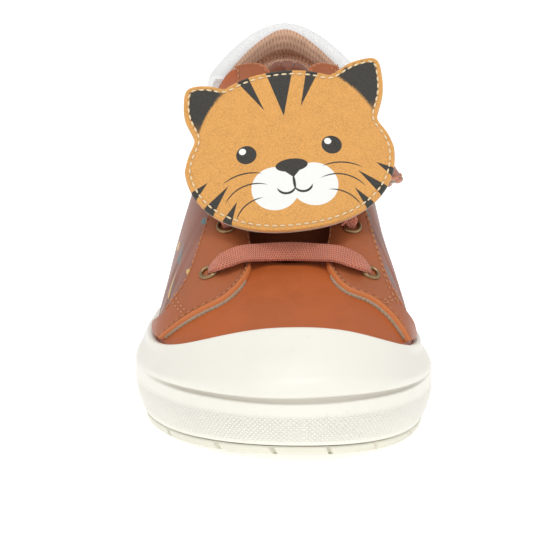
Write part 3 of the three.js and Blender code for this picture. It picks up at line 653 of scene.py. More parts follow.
def sheet(name, outer, inner, uv, materials, wrap=False, folded=False, attributes=None):
    """Two like grids of points and the walls round them. Material 0 is outside, 1 inside, 2 at the rim."""
    rows, cols = outer.shape[:2]
    total = rows * cols
    parts = [
        grid_faces(rows, cols, wrap_cols=wrap) + (0,),
        grid_faces(rows, cols, wrap_cols=wrap, start=total, flip=True) + (1,),
    ]
    faces = [part[0] for part in parts]
    places = [uv[part[1][..., 0], part[1][..., 1] % uv.shape[1]] for part in parts]
    slots = [np.full(len(part[0]), part[2]) for part in parts]

    def wall(edge, edge_uv, turned):
        a, b = edge[:-1], edge[1:]
        strip = np.stack([a, b, b + total, a + total], -1)
        uvs = np.stack([edge_uv[:-1], edge_uv[1:], edge_uv[1:], edge_uv[:-1]], -2)
        faces.append(strip[:, ::-1] if turned else strip)
        places.append(uvs[:, ::-1] if turned else uvs)
        slots.append(np.full(len(strip), 2))

    index = np.arange(total).reshape(rows, cols)
    grid_uv = uv[:, :cols]
    if wrap:
        index = np.concatenate([index, index[:, :1]], 1)
        grid_uv = np.concatenate([grid_uv, grid_uv[:, :1]], 1)
    wall(index[-1], grid_uv[-1], False)
    if not wrap:
        wall(index[0], grid_uv[0], True)
        if not folded:
            wall(index[:, 0], grid_uv[:, 0], False)
        wall(index[:, -1], grid_uv[:, -1], True)
    points = np.concatenate([outer.reshape(-1, 3), inner.reshape(-1, 3)])
    both = {key: np.concatenate([value.ravel(), value.ravel()]) for key, value in (attributes or {}).items()}
    last = min(2, len(materials) - 1)
    slots = np.minimum(np.concatenate(slots), last)
    return make_piece(name, points, np.concatenate(faces), np.concatenate(places), materials, slots, both)


def finish_piece(piece, slot, *nodes):
    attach(piece, "root")
    if nodes:
        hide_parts(*nodes)
    return piece


def arc_lengths(points):
    steps = np.linalg.norm(np.diff(points, axis=0), axis=-1)
    return np.concatenate([[0], np.cumsum(steps)])


def smooth_path(points, count):
    """A smooth curve through points, with the given number of places."""
    points = np.asarray(points, float)
    places = np.linspace(0, len(points) - 1, count)
    i = np.clip(places.astype(int), 0, len(points) - 2)
    k = (places - i)[:, None]
    before, a = points[np.maximum(i - 1, 0)], points[i]
    b, after = points[i + 1], points[np.minimum(i + 2, len(points) - 1)]
    slope_a, slope_b = (b - before) / 2, (after - a) / 2
    start = (1 + 2 * k) * (1 - k) ** 2 * a + k * (1 - k) ** 2 * slope_a
    return start + k * k * (3 - 2 * k) * b - k * k * (1 - k) * slope_b


# Shader helpers and groups


def add_node(tree, kind, inputs=None, **settings):
    made = tree.nodes.new(kind)
    for name, value in settings.items():
        setattr(made, name, value)
    for name, value in (inputs or {}).items():
        if isinstance(value, bpy.types.NodeSocket):
            tree.links.new(value, made.inputs[name])
        else:
            made.inputs[name].default_value = value
    return made


def maths(tree, operation, *values, clamp=False):
    inputs = dict(enumerate(values))
    return add_node(tree, "ShaderNodeMath", inputs, operation=operation, use_clamp=clamp).outputs[0]


def ramp(tree, value, low, high, start=0.0, end=1.0, smooth=True):
    """value's way from low to high as a share, eased, between start and end."""
    inputs = {"Value": value, "From Min": low, "From Max": high, "To Min": start, "To Max": end}
    kind = "SMOOTHSTEP" if smooth else "LINEAR"
    return add_node(tree, "ShaderNodeMapRange", inputs, interpolation_type=kind).outputs["Result"]


def blend(tree, factor, first, second, kind="MIX"):
    made = add_node(tree, "ShaderNodeMix", data_type="RGBA", blend_type=kind)
    for socket, value in ((made.inputs[0], factor), (made.inputs[6], first), (made.inputs[7], second)):
        if isinstance(value, bpy.types.NodeSocket):
            tree.links.new(value, socket)
        else:
            socket.default_value = value if isinstance(value, (int, float)) else (*value[:3], 1.0)
    return made.outputs[2]


def millimetres(tree):
    """Object coordinates in millimetres."""
    place = add_node(tree, "ShaderNodeTexCoord").outputs["Object"]
    return add_node(tree, "ShaderNodeVectorMath", {0: place, "Scale": 1 / MM}, operation="SCALE").outputs[0]


def cut_place(tree):
    """The piece's own UV place in millimetres."""
    return add_node(tree, "ShaderNodeUVMap", uv_map="cut").outputs["UV"]


def field(tree, name):
    return add_node(tree, "ShaderNodeAttribute", attribute_name=name).outputs["Fac"]


def noise(tree, place, scale, detail=2.0, roughness=0.5):
    inputs = {"Vector": place, "Scale": scale, "Detail": detail, "Roughness": roughness}
    return add_node(tree, "ShaderNodeTexNoise", inputs).outputs["Fac"]


def new_group(name, inputs, outputs):
    tree = bpy.data.node_groups.new(name, "ShaderNodeTree")
    for label, kind, value in inputs:
        socket = tree.interface.new_socket(label, in_out="INPUT", socket_type=kind)
        if value is not None:
            socket.default_value = value
    for label, kind in outputs:
        tree.interface.new_socket(label, in_out="OUTPUT", socket_type=kind)
    entry = tree.nodes.new("NodeGroupInput")
    leave = tree.nodes.new("NodeGroupOutput")
    return tree, entry, leave


FLOAT, VECTOR = "NodeSocketFloat", "NodeSocketVector"


def grain_group():
    """Fine leather or nap grain: a height and a slow mottle."""
    inputs = [("Place", VECTOR, None), ("Grain size", FLOAT, 0.6), ("Mottle size", FLOAT, 9.0)]
    tree, entry, leave = new_group("Grain", inputs, [("Height", FLOAT), ("Mottle", FLOAT)])
    fine = maths(tree, "DIVIDE", 1.0, entry.outputs["Grain size"])
    inputs = {"Vector": entry.outputs["Place"], "Scale": fine}
    cells = add_node(tree, "ShaderNodeTexVoronoi", inputs, feature="F1")
    soft = noise(tree, entry.outputs["Place"], fine, 3.0)
    height = maths(tree, "MULTIPLY_ADD", cells.outputs["Distance"], -0.5, soft)
    tree.links.new(height, leave.inputs["Height"])
    wide = maths(tree, "DIVIDE", 1.0, entry.outputs["Mottle size"])
    tree.links.new(noise(tree, entry.outputs["Place"], wide, 3.0, 0.6), leave.inputs["Mottle"])
    return tree


def knit_group():
    """Rows of small open loops: a height and a mask of the holes between them."""
    inputs = [("Place", VECTOR, None), ("Across", FLOAT, 0.9), ("Along", FLOAT, 1.4), ("Lean", FLOAT, 0.0)]
    tree, entry, leave = new_group("Knit", inputs, [("Height", FLOAT), ("Holes", FLOAT)])
    split = add_node(tree, "ShaderNodeSeparateXYZ", {0: entry.outputs["Place"]})
    v = maths(tree, "DIVIDE", split.outputs[1], entry.outputs["Along"])
    row = maths(tree, "FLOOR", v)
    shift = maths(tree, "MULTIPLY", row, 0.5)
    lean = maths(tree, "MULTIPLY", split.outputs[1], entry.outputs["Lean"])
    u = maths(tree, "DIVIDE", maths(tree, "ADD", split.outputs[0], lean), entry.outputs["Across"])
    u = maths(tree, "ADD", u, shift)
    across = maths(tree, "ABSOLUTE", maths(tree, "SUBTRACT", maths(tree, "FRACT", u), 0.5))
    along = maths(tree, "ABSOLUTE", maths(tree, "SUBTRACT", maths(tree, "FRACT", v), 0.5))
    reach = maths(tree, "MULTIPLY_ADD", along, 0.55, across)
    holes = ramp(tree, reach, 0.30, 0.16)
    tree.links.new(holes, leave.inputs["Holes"])
    tree.links.new(ramp(tree, reach, 0.10, 0.55), leave.inputs["Height"])
    return tree


def wear_group():
    """Sparse faint scuffs and specks, as a mask."""
    inputs = [("Place", VECTOR, None), ("Size", FLOAT, 6.0), ("Amount", FLOAT, 0.5)]
    tree, entry, leave = new_group("Wear", inputs, [("Mask", FLOAT)])
    scale = maths(tree, "DIVIDE", 1.0, entry.outputs["Size"])
    broad = ramp(tree, noise(tree, entry.outputs["Place"], scale, 4.0, 0.65), 0.55, 0.75)
    fine = maths(tree, "MULTIPLY", scale, 9.0)
    specks = ramp(tree, noise(tree, entry.outputs["Place"], fine, 2.0), 0.58, 0.72)
    both = maths(tree, "MULTIPLY", broad, specks)
    tree.links.new(maths(tree, "MULTIPLY", both, entry.outputs["Amount"]), leave.inputs["Mask"])
    return tree


def disc_group():
    """An oval of the print, as a mask."""
    inputs = [("Place", VECTOR, None), ("X", FLOAT, 0.0), ("Y", FLOAT, 0.0), ("Width", FLOAT, 1.0)]
    inputs += [("Height", FLOAT, 1.0)]
    tree, entry, leave = new_group("Printed oval", inputs, [("Mask", FLOAT)])
    split = add_node(tree, "ShaderNodeSeparateXYZ", {0: entry.outputs["Place"]})
    across = maths(tree, "SUBTRACT", split.outputs[0], entry.outputs["X"])
    rise = maths(tree, "SUBTRACT", split.outputs[1], entry.outputs["Y"])
    across = maths(tree, "POWER", maths(tree, "DIVIDE", across, entry.outputs["Width"]), 2.0)
    rise = maths(tree, "POWER", maths(tree, "DIVIDE", rise, entry.outputs["Height"]), 2.0)
    reach = maths(tree, "SQRT", maths(tree, "ADD", across, rise))
    reach = maths(tree, "MULTIPLY", maths(tree, "SUBTRACT", reach, 1.0), entry.outputs["Width"])
    tree.links.new(ramp(tree, reach, 0.05, -0.05), leave.inputs["Mask"])
    return tree


def wedge_group():
    """A stripe of the print, pointed at its tip, as a mask."""
    inputs = [("Place", VECTOR, None), ("Tip", VECTOR, None), ("Way", VECTOR, None), ("Slope", FLOAT, 0.2)]
    tree, entry, leave = new_group("Printed stripe", inputs, [("Mask", FLOAT)])
    inputs = {0: entry.outputs["Place"], 1: entry.outputs["Tip"]}
    from_tip = add_node(tree, "ShaderNodeVectorMath", inputs, operation="SUBTRACT").outputs[0]
    inputs = {0: from_tip, 1: entry.outputs["Way"]}
    run = add_node(tree, "ShaderNodeVectorMath", inputs, operation="DOT_PRODUCT").outputs["Value"]
    beside = add_node(tree, "ShaderNodeVectorMath", inputs, operation="CROSS_PRODUCT").outputs[0]
    away = add_node(tree, "ShaderNodeVectorMath", {0: beside}, operation="LENGTH").outputs["Value"]
    inside = maths(tree, "SUBTRACT", maths(tree, "MULTIPLY", run, entry.outputs["Slope"]), away)
    tree.links.new(ramp(tree, inside, -0.05, 0.05), leave.inputs["Mask"])
    return tree


def arc_group():
    """A thin curved line of the print, as a mask."""
    inputs = [("Place", VECTOR, None), ("Centre", VECTOR, None), ("Middle", VECTOR, None)]
    inputs += [("Radius", FLOAT, 5.0), ("Reach", FLOAT, 3.0), ("Line width", FLOAT, 0.3)]
    tree, entry, leave = new_group("Printed line", inputs, [("Mask", FLOAT)])
    inputs = {0: entry.outputs["Place"], 1: entry.outputs["Centre"]}
    away = add_node(tree, "ShaderNodeVectorMath", inputs, operation="DISTANCE").outputs["Value"]
    off = maths(tree, "ABSOLUTE", maths(tree, "SUBTRACT", away, entry.outputs["Radius"]))
    inputs = {0: entry.outputs["Place"], 1: entry.outputs["Middle"]}
    along = add_node(tree, "ShaderNodeVectorMath", inputs, operation="DISTANCE").outputs["Value"]
    share = maths(tree, "DIVIDE", along, entry.outputs["Reach"])
    taper = maths(tree, "SUBTRACT", 1.0, maths(tree, "POWER", share, 4.0), clamp=True)
    half = maths(tree, "MULTIPLY", maths(tree, "MULTIPLY", entry.outputs["Line width"], 0.5), taper)
    line = ramp(tree, maths(tree, "SUBTRACT", half, off), -0.05, 0.05)
    ends = ramp(tree, share, 1.02, 0.98)
    tree.links.new(maths(tree, "MULTIPLY", line, ends), leave.inputs["Mask"])
    return tree


GROUP_MAKERS = {
    "Grain": grain_group,
    "Knit": knit_group,
    "Wear": wear_group,
    "Printed oval": disc_group,
    "Printed stripe": wedge_group,
    "Printed line": arc_group,
}


def place_group(tree, name, inputs):
    found = bpy.data.node_groups.get(name) or GROUP_MAKERS[name]()
    made = tree.nodes.new("ShaderNodeGroup")
    made.node_tree = found
    for key, value in inputs.items():
        if isinstance(value, bpy.types.NodeSocket):
            tree.links.new(value, made.inputs[key])
        else:
            made.inputs[key].default_value = value
    return made


def new_material(name, colour, roughness, **sockets):
    """A Principled material whose plain values stand on its own sockets."""
    found = bpy.data.materials.get(name)
    if found:
        return found, None, None
    material = bpy.data.materials.new(name)
    material.use_nodes = True
    tree = material.node_tree
    shader = tree.nodes["Principled BSDF"]
    shader.inputs["Base Color"].default_value = (*colour, 1.0)
    shader.inputs["Roughness"].default_value = roughness
    for key, value in sockets.items():
        shader.inputs[key].default_value = value
    material.diffuse_color = (*colour, 1.0)
    return material, tree, shader


def set_bump(tree, shader, height, depth, strength=1.0, normal=None):
    inputs = {"Height": height, "Distance": depth * MM, "Strength": strength}
    made = add_node(tree, "ShaderNodeBump", inputs)
    if normal is not None:
        tree.links.new(normal, made.inputs["Normal"])
    tree.links.new(made.outputs["Normal"], shader.inputs["Normal"])
    return made.outputs["Normal"]


def dimmed(colour, share):
    return tuple(channel * share for channel in colour)


# Materials


def leather_material(name, colour, print_colours=None):
    """Smooth leather with fine grain. The field edge paints a highlight on a folded rim, the seam mask paints
    shade into a groove.
    """
    material, tree, shader = new_material(name, colour, 0.45, **LEATHER_FINISH)
    if tree is None:
        return material
    place = millimetres(tree)
    grain = place_group(tree, "Grain", {"Place": place, "Grain size": 0.55, "Mottle size": 11.0})
    mottle = ramp(tree, grain.outputs["Mottle"], 0.3, 0.7)
    tone = blend(tree, mottle, dimmed(colour, 0.93), dimmed(colour, 1.06))
    if print_colours:
        tone = leaf_print(tree, tone, print_colours)
    # Painted highlight: the edge mask lightens folded rims towards the rim colour.
    tone = blend(tree, field(tree, "edge"), tone, RIM_HIGHLIGHT_COLOUR)
    # Painted shade: the seam mask darkens the leather in grooves and stitch dips.
    tone = blend(tree, field(tree, "seam_shade"), tone, dimmed(colour, 0.42))
    wear = place_group(tree, "Wear", {"Place": place, "Size": 8.0, "Amount": 0.35})
    tone = blend(tree, wear.outputs["Mask"], tone, dimmed(colour, 1.5))
    tree.links.new(tone, shader.inputs["Base Color"])
    rough = ramp(tree, grain.outputs["Mottle"], 0.25, 0.75, 0.36, 0.52)
    tree.links.new(rough, shader.inputs["Roughness"])
    height = maths(tree, "MULTIPLY_ADD", field(tree, "seam_shade"), -3.0, grain.outputs["Height"])
    set_bump(tree, shader, height, 0.10, 0.7)
    return material


def leaf_print(tree, tone, colours):
    """Scattered slim leaves of no one's design, each turned at random."""
    flat = cut_place(tree)
    inputs = {"Vector": flat, "Scale": 0.085, "Randomness": 0.85}
    cells = add_node(tree, "ShaderNodeTexVoronoi", inputs, feature="F1", voronoi_dimensions="2D")
    here = add_node(tree, "ShaderNodeVectorMath", {0: flat}, operation="SUBTRACT")
    tree.links.new(cells.outputs["Position"], here.inputs[1])
    pick = add_node(tree, "ShaderNodeSeparateColor", {0: cells.outputs["Color"]})
    angle = maths(tree, "MULTIPLY", pick.outputs[0], 2 * math.pi)
    inputs = {"Vector": here.outputs[0], "Angle": angle}
    turned = add_node(tree, "ShaderNodeVectorRotate", inputs, rotation_type="Z_AXIS").outputs[0]
    leaf = place_group(tree, "Printed oval", {"Place": turned, "Width": 0.75, "Height": 3.4})
    inputs = {"Place": turned, "X": 1.6, "Y": 1.0, "Width": 0.45, "Height": 2.2}
    stem = place_group(tree, "Printed oval", inputs)
    first = maths(tree, "GREATER_THAN", pick.outputs[1], 0.5)
    hue = blend(tree, first, colours[0], colours[1])
    shown = maths(tree, "MULTIPLY", leaf.outputs["Mask"], 0.85)
    tone = blend(tree, shown, tone, hue)
    return blend(tree, maths(tree, "MULTIPLY", stem.outputs["Mask"], 0.5), tone, colours[1])


def rubber_material(name, colour):
    """Satin off-white rubber. hatch: where the fine diamond pattern is moulded in."""
    material, tree, shader = new_material(name, colour, 0.38, **{"Coat Weight": 0.08, "Coat Roughness": 0.3})
    if tree is None:
        return material
    place = millimetres(tree)
    grain = place_group(tree, "Grain", {"Place": place, "Grain size": 0.9, "Mottle size": 25.0})
    tone = blend(tree, ramp(tree, grain.outputs["Mottle"], 0.3, 0.7), dimmed(colour, 0.97), colour)
    wear = place_group(tree, "Wear", {"Place": place, "Size": 14.0, "Amount": 0.25})
    tone = blend(tree, wear.outputs["Mask"], tone, (0.55, 0.50, 0.42))
    # Painted shade: the seam mask darkens the groove under the toe cap.
    tone = blend(tree, field(tree, "seam_shade"), tone, (0.36, 0.31, 0.24))
    tree.links.new(tone, shader.inputs["Base Color"])
    tree.links.new(ramp(tree, grain.outputs["Mottle"], 0.3, 0.7, 0.34, 0.46), shader.inputs["Roughness"])
    split = add_node(tree, "ShaderNodeSeparateXYZ", {0: cut_place(tree)})
    rows = []
    for sign in (1.0, -1.0):
        slanted = maths(tree, "MULTIPLY_ADD", split.outputs[1], sign * 1.15, split.outputs[0])
        phase = maths(tree, "FRACT", maths(tree, "DIVIDE", slanted, HATCH_PITCH))
        rows.append(maths(tree, "ABSOLUTE", maths(tree, "SUBTRACT", phase, 0.5)))
    peak = maths(tree, "MINIMUM", *rows)
    hatch = maths(tree, "MULTIPLY", ramp(tree, peak, 0.0, 0.22), field(tree, "hatch"))
    height = maths(tree, "MULTIPLY_ADD", grain.outputs["Height"], 0.05, hatch)
    set_bump(tree, shader, height, 0.22, 0.8)
    return material


def knit_material(name, colour, hole_shade_colour, across, along, depth=0.35, sheen=0.3, lean=0.0):
    """A knitted cloth with small open loops, and painted shade in the holes between them."""
    finish = {"Sheen Weight": sheen, "Sheen Roughness": 0.5}
    material, tree, shader = new_material(name, colour, 0.85, **finish)
    if tree is None:
        return material
    place = millimetres(tree)
    grain = place_group(tree, "Grain", {"Place": place, "Grain size": 0.25, "Mottle size": 9.0})
    inputs = {"Place": cut_place(tree), "Across": across, "Along": along, "Lean": lean}
    knit = place_group(tree, "Knit", inputs)
    mottle = ramp(tree, grain.outputs["Mottle"], 0.3, 0.7)
    tone = blend(tree, mottle, dimmed(colour, 0.9), dimmed(colour, 1.08))
    # Painted shade: the holes between the loops take the darker hole colour.
    tone = blend(tree, maths(tree, "MULTIPLY", knit.outputs["Holes"], 0.8), tone, hole_shade_colour)
    tree.links.new(tone, shader.inputs["Base Color"])
    height = maths(tree, "MULTIPLY_ADD", grain.outputs["Height"], 0.25, knit.outputs["Height"])
    set_bump(tree, shader, height, depth, 0.8)
    return material


def cloth_material(name, colour, roughness=0.8, grain_size=0.3, depth=0.12):
    """Plain fine cloth, felt or thread."""
    material, tree, shader = new_material(name, colour, roughness, **{"Sheen Weight": 0.25})
    if tree is None:
        return material
    place = millimetres(tree)
    grain = place_group(tree, "Grain", {"Place": place, "Grain size": grain_size, "Mottle size": 6.0})
    fibres = ramp(tree, grain.outputs["Height"], 0.0, 0.6)
    tone = blend(tree, fibres, dimmed(colour, 0.82), dimmed(colour, 1.08))
    tree.links.new(tone, shader.inputs["Base Color"])
    set_bump(tree, shader, grain.outputs["Height"], depth, 0.8)
    return material


def brass_material():
    """Brass darkened with painted shade, mottled darker and lighter at random."""
    material, tree, shader = new_material("Shade-darkened brass", SHADED_BRASS_COLOUR, 0.34, **{"Metallic": 1.0})
    if tree is None:
        return material
    grain = place_group(tree, "Grain", {"Place": millimetres(tree), "Grain size": 0.5, "Mottle size": 1.6})
    tone = blend(tree, grain.outputs["Mottle"], dimmed(SHADED_BRASS_COLOUR, 0.6), dimmed(SHADED_BRASS_COLOUR, 1.3))
    tree.links.new(tone, shader.inputs["Base Color"])
    tree.links.new(ramp(tree, grain.outputs["Mottle"], 0.3, 0.7, 0.26, 0.46), shader.inputs["Roughness"])
    set_bump(tree, shader, grain.outputs["Height"], 0.03, 0.6)
    return material


def through_three(start, middle, end):
    """Centre and radius of the circle through three places."""
    (ax, ay), (bx, by), (cx, cy) = start, middle, end
    turn = 2 * (ax * (by - cy) + bx * (cy - ay) + cx * (ay - by))
    a, b, c = ax * ax + ay * ay, bx * bx + by * by, cx * cx + cy * cy
    x = (a * (by - cy) + b * (cy - ay) + c * (ay - by)) / turn
    y = (a * (cx - bx) + b * (ax - cx) + c * (bx - ax)) / turn
    return (x, y), math.hypot(ax - x, ay - y)


def face_material():
    """Mustard nubuck with the printed face."""
    colour = NUBUCK_COLOUR
    material, tree, shader = new_material("Nubuck with printed face", colour, 0.9, **{"Sheen Weight": 0.25})
    if tree is None:
        return material
    place = millimetres(tree)
    grain = place_group(tree, "Grain", {"Place": place, "Grain size": 0.35, "Mottle size": 3.5})
    nap = ramp(tree, grain.outputs["Height"], -0.1, 0.6)
    tone = blend(tree, nap, dimmed(colour, 0.78), dimmed(colour, 1.14))
    tone = blend(tree, ramp(tree, grain.outputs["Mottle"], 0.35, 0.7, 0.0, 0.4), tone, dimmed(colour, 1.08))
    flat = cut_place(tree)
    ink = blend(tree, nap, dimmed(INK_COLOUR, 0.8), dimmed(INK_COLOUR, 1.4))

    def oval(x, y, width, height):
        inputs = {"Place": flat, "X": x, "Y": y, "Width": width, "Height": height}
        return place_group(tree, "Printed oval", inputs).outputs["Mask"]

    def stripe(tip, base, half_width):
        way = Vector((base[0] - tip[0], base[1] - tip[1], 0))
        inputs = {"Place": flat, "Tip": (*tip, 0), "Way": way.normalized(), "Slope": half_width / way.length}
        return place_group(tree, "Printed stripe", inputs).outputs["Mask"]

    def line(start, middle, end, width):
        centre, radius = through_three(start, middle, end)
        reach = math.dist(start, end) / 2
        chord = Vector(((start[0] + end[0]) / 2 - centre[0], (start[1] + end[1]) / 2 - centre[1], 0))
        top = Vector((*centre, 0)) + chord.normalized() * radius
        inputs = {"Place": flat, "Centre": (*centre, 0), "Radius": radius, "Middle": top}
        inputs.update({"Reach": math.hypot(reach, radius - chord.length), "Line width": width})
        return place_group(tree, "Printed line", inputs).outputs["Mask"]

    def joined(masks):
        whole = masks[0]
        for mask in masks[1:]:
            whole = maths(tree, "MAXIMUM", whole, mask)
        return whole

    lobe = (MUZZLE["y"], MUZZLE["width"], MUZZLE["height"])
    muzzle = joined([oval(side * MUZZLE["x"], *lobe) for side in (-1, 1)])
    tone = blend(tree, muzzle, tone, MUZZLE_COLOUR)
    dark = [oval(side * EYE["x"], EYE["y"], EYE["radius"], EYE["radius"]) for side in (-1, 1)]
    dark.append(oval(0, NOSE["y"], NOSE["width"], NOSE["height"]))
    dark.append(stripe((0, NOSE["tip"]), (0, NOSE["y"]), NOSE["width"] * 0.85))
    rise = add_node(tree, "ShaderNodeSeparateXYZ", {0: flat}).outputs[1]
    nose_end = ramp(tree, rise, NOSE["y"] + 0.4, NOSE["y"])
    dark[-1] = maths(tree, "MULTIPLY", dark[-1], nose_end)
    dark.append(oval(0, (NOSE["tip"] - 10.4) / 2, 0.34, (NOSE["tip"] + 10.4) / 2 + 0.5))
    for row in STRIPES:
        sides = (-1, 1) if row["side"] else (1,)
        for side in sides:
            (tip_x, tip_y), (base_x, base_y) = row["tip"], row["base"]
            dark.append(stripe((side * tip_x, tip_y), (side * base_x, base_y), row["half_width"]))
    for row in LINES:
        for side in (-1, 1):
            ends = [(side * row[key][0], row[key][1]) for key in ("start", "middle", "end")]
            dark.append(line(*ends, row["width"]))
    dark.append(field(tree, "ear"))
    tone = blend(tree, joined(dark), tone, ink)
    glint = (EYE["y"] + GLINT["y"], GLINT["radius"], GLINT["radius"])
    glints = [oval(side * EYE["x"] + GLINT["x"], *glint) for side in (-1, 1)]
    tone = blend(tree, joined(glints), tone, MUZZLE_COLOUR)
    tree.links.new(tone, shader.inputs["Base Color"])
    # On the patch the seam mask only sinks a dip along the stitches; no shade is painted here.
    height = maths(tree, "MULTIPLY_ADD", field(tree, "seam_shade"), -4.0, grain.outputs["Height"])
    set_bump(tree, shader, height, 0.10, 0.8)
    return material


LEATHER_FINISH = {"Coat Weight": 0.03, "Specular IOR Level": 0.32}

# Colours and the hatch pitch; the sidebar takes some of these colours as its defaults

HATCH_PITCH = 1.25
LEATHER_COLOUR = (0.43, 0.100, 0.022)
FACING_COLOUR = (0.37, 0.105, 0.036)
QUARTER_COLOUR = (0.30, 0.125, 0.088)
STRAP_COLOUR = (0.36, 0.125, 0.075)
TONGUE_COLOUR = (0.20, 0.055, 0.022)
# Painted highlight for folded leather rims
RIM_HIGHLIGHT_COLOUR = (0.62, 0.19, 0.055)
BACKING_COLOUR = (0.42, 0.31, 0.21)
RUBBER_COLOUR = (0.86, 0.84, 0.755)
OUTSOLE_COLOUR = (0.80, 0.775, 0.66)
LINING_COLOUR = (0.93, 0.60, 0.41)
# Painted shade in the holes of the knits
LINING_HOLE_SHADE_COLOUR = (0.60, 0.32, 0.20)
COLLAR_COLOUR = (0.90, 0.90, 0.895)
ELASTIC_COLOUR = (0.68, 0.215, 0.125)
ELASTIC_HOLE_SHADE_COLOUR = (0.16, 0.045, 0.03)
NUBUCK_COLOUR = (0.71, 0.350, 0.092)
INK_COLOUR = (0.036, 0.033, 0.028)
MUZZLE_COLOUR = (0.86, 0.865, 0.83)
# Brass darkened with painted shade
SHADED_BRASS_COLOUR = (0.34, 0.23, 0.12)
THREAD_COLOUR = (0.50, 0.18, 0.06)
CREAM_THREAD_COLOUR = (0.86, 0.68, 0.42)
PALE_LEATHER_COLOUR = (0.62, 0.48, 0.36)
FLOOR_COLOUR = (0.93, 0.93, 0.93)
LEAF_COLOURS = ((0.75, 0.50, 0.16), (0.12, 0.24, 0.25))


def colour_property(name, description, value):
    return bpy.props.FloatVectorProperty(
        name=name, description=description, default=value, subtype="COLOR", size=3, min=0.0, max=1.0
    )


def length_property(name, description, value, low, high):
    words = f"{description}, in millimetres"
    return bpy.props.FloatProperty(name=name, description=words, default=value, min=low, max=high)


class SneakerColours(bpy.types.PropertyGroup):
    leather: colour_property("Leather", "Vamp and heel", LEATHER_COLOUR)
    facing: colour_property("Facing", "Leather of the facings", FACING_COLOUR)
    quarter: colour_property("Quarter", "Printed leather behind the facings", QUARTER_COLOUR)
    rubber: colour_property("Rubber", "Toe cap and sidewall", RUBBER_COLOUR)
    nubuck: colour_property("Nubuck", "Ground of the face patch", NUBUCK_COLOUR)
    elastic: colour_property("Elastic", "Knitted lace bars", ELASTIC_COLOUR)
    thread: colour_property("Thread", "Stitches in the leather", THREAD_COLOUR)


class SneakerSizes(bpy.types.PropertyGroup):
    stitch_length: length_property("Stitch length", "Length of one stitch", 1.45, 0.5, 4.0)
    stitch_gap: length_property("Stitch gap", "Gap between two stitches", 0.45, 0.1, 2.0)
    thread_width: length_property("Thread width", "Width of the sewing thread", 0.5, 0.1, 1.0)
    seam_inset: length_property("Seam inset", "Distance from a folded edge", 1.35, 0.5, 3.0)


# Stitches


def stitch_tree():
    """Geometry Nodes that lay stitches along a row of edges."""
    name = "Stitch row"
    if name in bpy.data.node_groups:
        return bpy.data.node_groups[name]
    tree = bpy.data.node_groups.new(name, "GeometryNodeTree")
    tree.interface.new_socket("Geometry", in_out="INPUT", socket_type="NodeSocketGeometry")
    for label, value in (("Pitch", 0.002), ("Stitch length", 0.0015), ("Thread width", 0.0004)):
        socket = tree.interface.new_socket(label, in_out="INPUT", socket_type=FLOAT)
        socket.default_value = value
    tree.interface.new_socket("Thread", in_out="INPUT", socket_type="NodeSocketMaterial")
    tree.interface.new_socket("Geometry", in_out="OUTPUT", socket_type="NodeSocketGeometry")
    entry, leave = tree.nodes.new("NodeGroupInput"), tree.nodes.new("NodeGroupOutput")
    curve = add_node(tree, "GeometryNodeMeshToCurve", {0: entry.outputs["Geometry"]})
    even = add_node(tree, "GeometryNodeResampleCurve", mode="LENGTH")
    tree.links.new(curve.outputs[0], even.inputs["Curve"])
    tree.links.new(entry.outputs["Pitch"], even.inputs["Length"])
    outward = add_node(tree, "GeometryNodeInputNamedAttribute", {"Name": "outward"}, data_type="FLOAT_VECTOR")
    tangent = tree.nodes.new("GeometryNodeInputTangent")
    turned = add_node(tree, "FunctionNodeAlignRotationToVector", axis="Z")
    tree.links.new(outward.outputs["Attribute"], turned.inputs["Vector"])
    laid = add_node(tree, "FunctionNodeAlignRotationToVector", axis="X", pivot_axis="Z")
    tree.links.new(turned.outputs[0], laid.inputs["Rotation"])
    tree.links.new(tangent.outputs[0], laid.inputs["Vector"])
    ball = add_node(tree, "GeometryNodeMeshUVSphere", {"Segments": 8, "Rings": 6, "Radius": 0.5})
    flat = add_node(tree, "ShaderNodeMath", {0: entry.outputs["Thread width"], 1: 0.8}, operation="MULTIPLY")
    size = add_node(tree, "ShaderNodeCombineXYZ")
    tree.links.new(entry.outputs["Stitch length"], size.inputs[0])
    tree.links.new(entry.outputs["Thread width"], size.inputs[1])
    tree.links.new(flat.outputs[0], size.inputs[2])
    laid_out = tree.nodes.new("GeometryNodeInstanceOnPoints")
    tree.links.new(even.outputs[0], laid_out.inputs["Points"])
    tree.links.new(ball.outputs[0], laid_out.inputs["Instance"])
    tree.links.new(laid.outputs[0], laid_out.inputs["Rotation"])
    tree.links.new(size.outputs[0], laid_out.inputs["Scale"])
    real = add_node(tree, "GeometryNodeRealizeInstances")
    tree.links.new(laid_out.outputs[0], real.inputs[0])
    thread = tree.nodes.new("GeometryNodeSetMaterial")
    tree.links.new(real.outputs[0], thread.inputs["Geometry"])
    tree.links.new(entry.outputs["Thread"], thread.inputs["Material"])
    tree.links.new(thread.outputs[0], leave.inputs[0])
    return tree


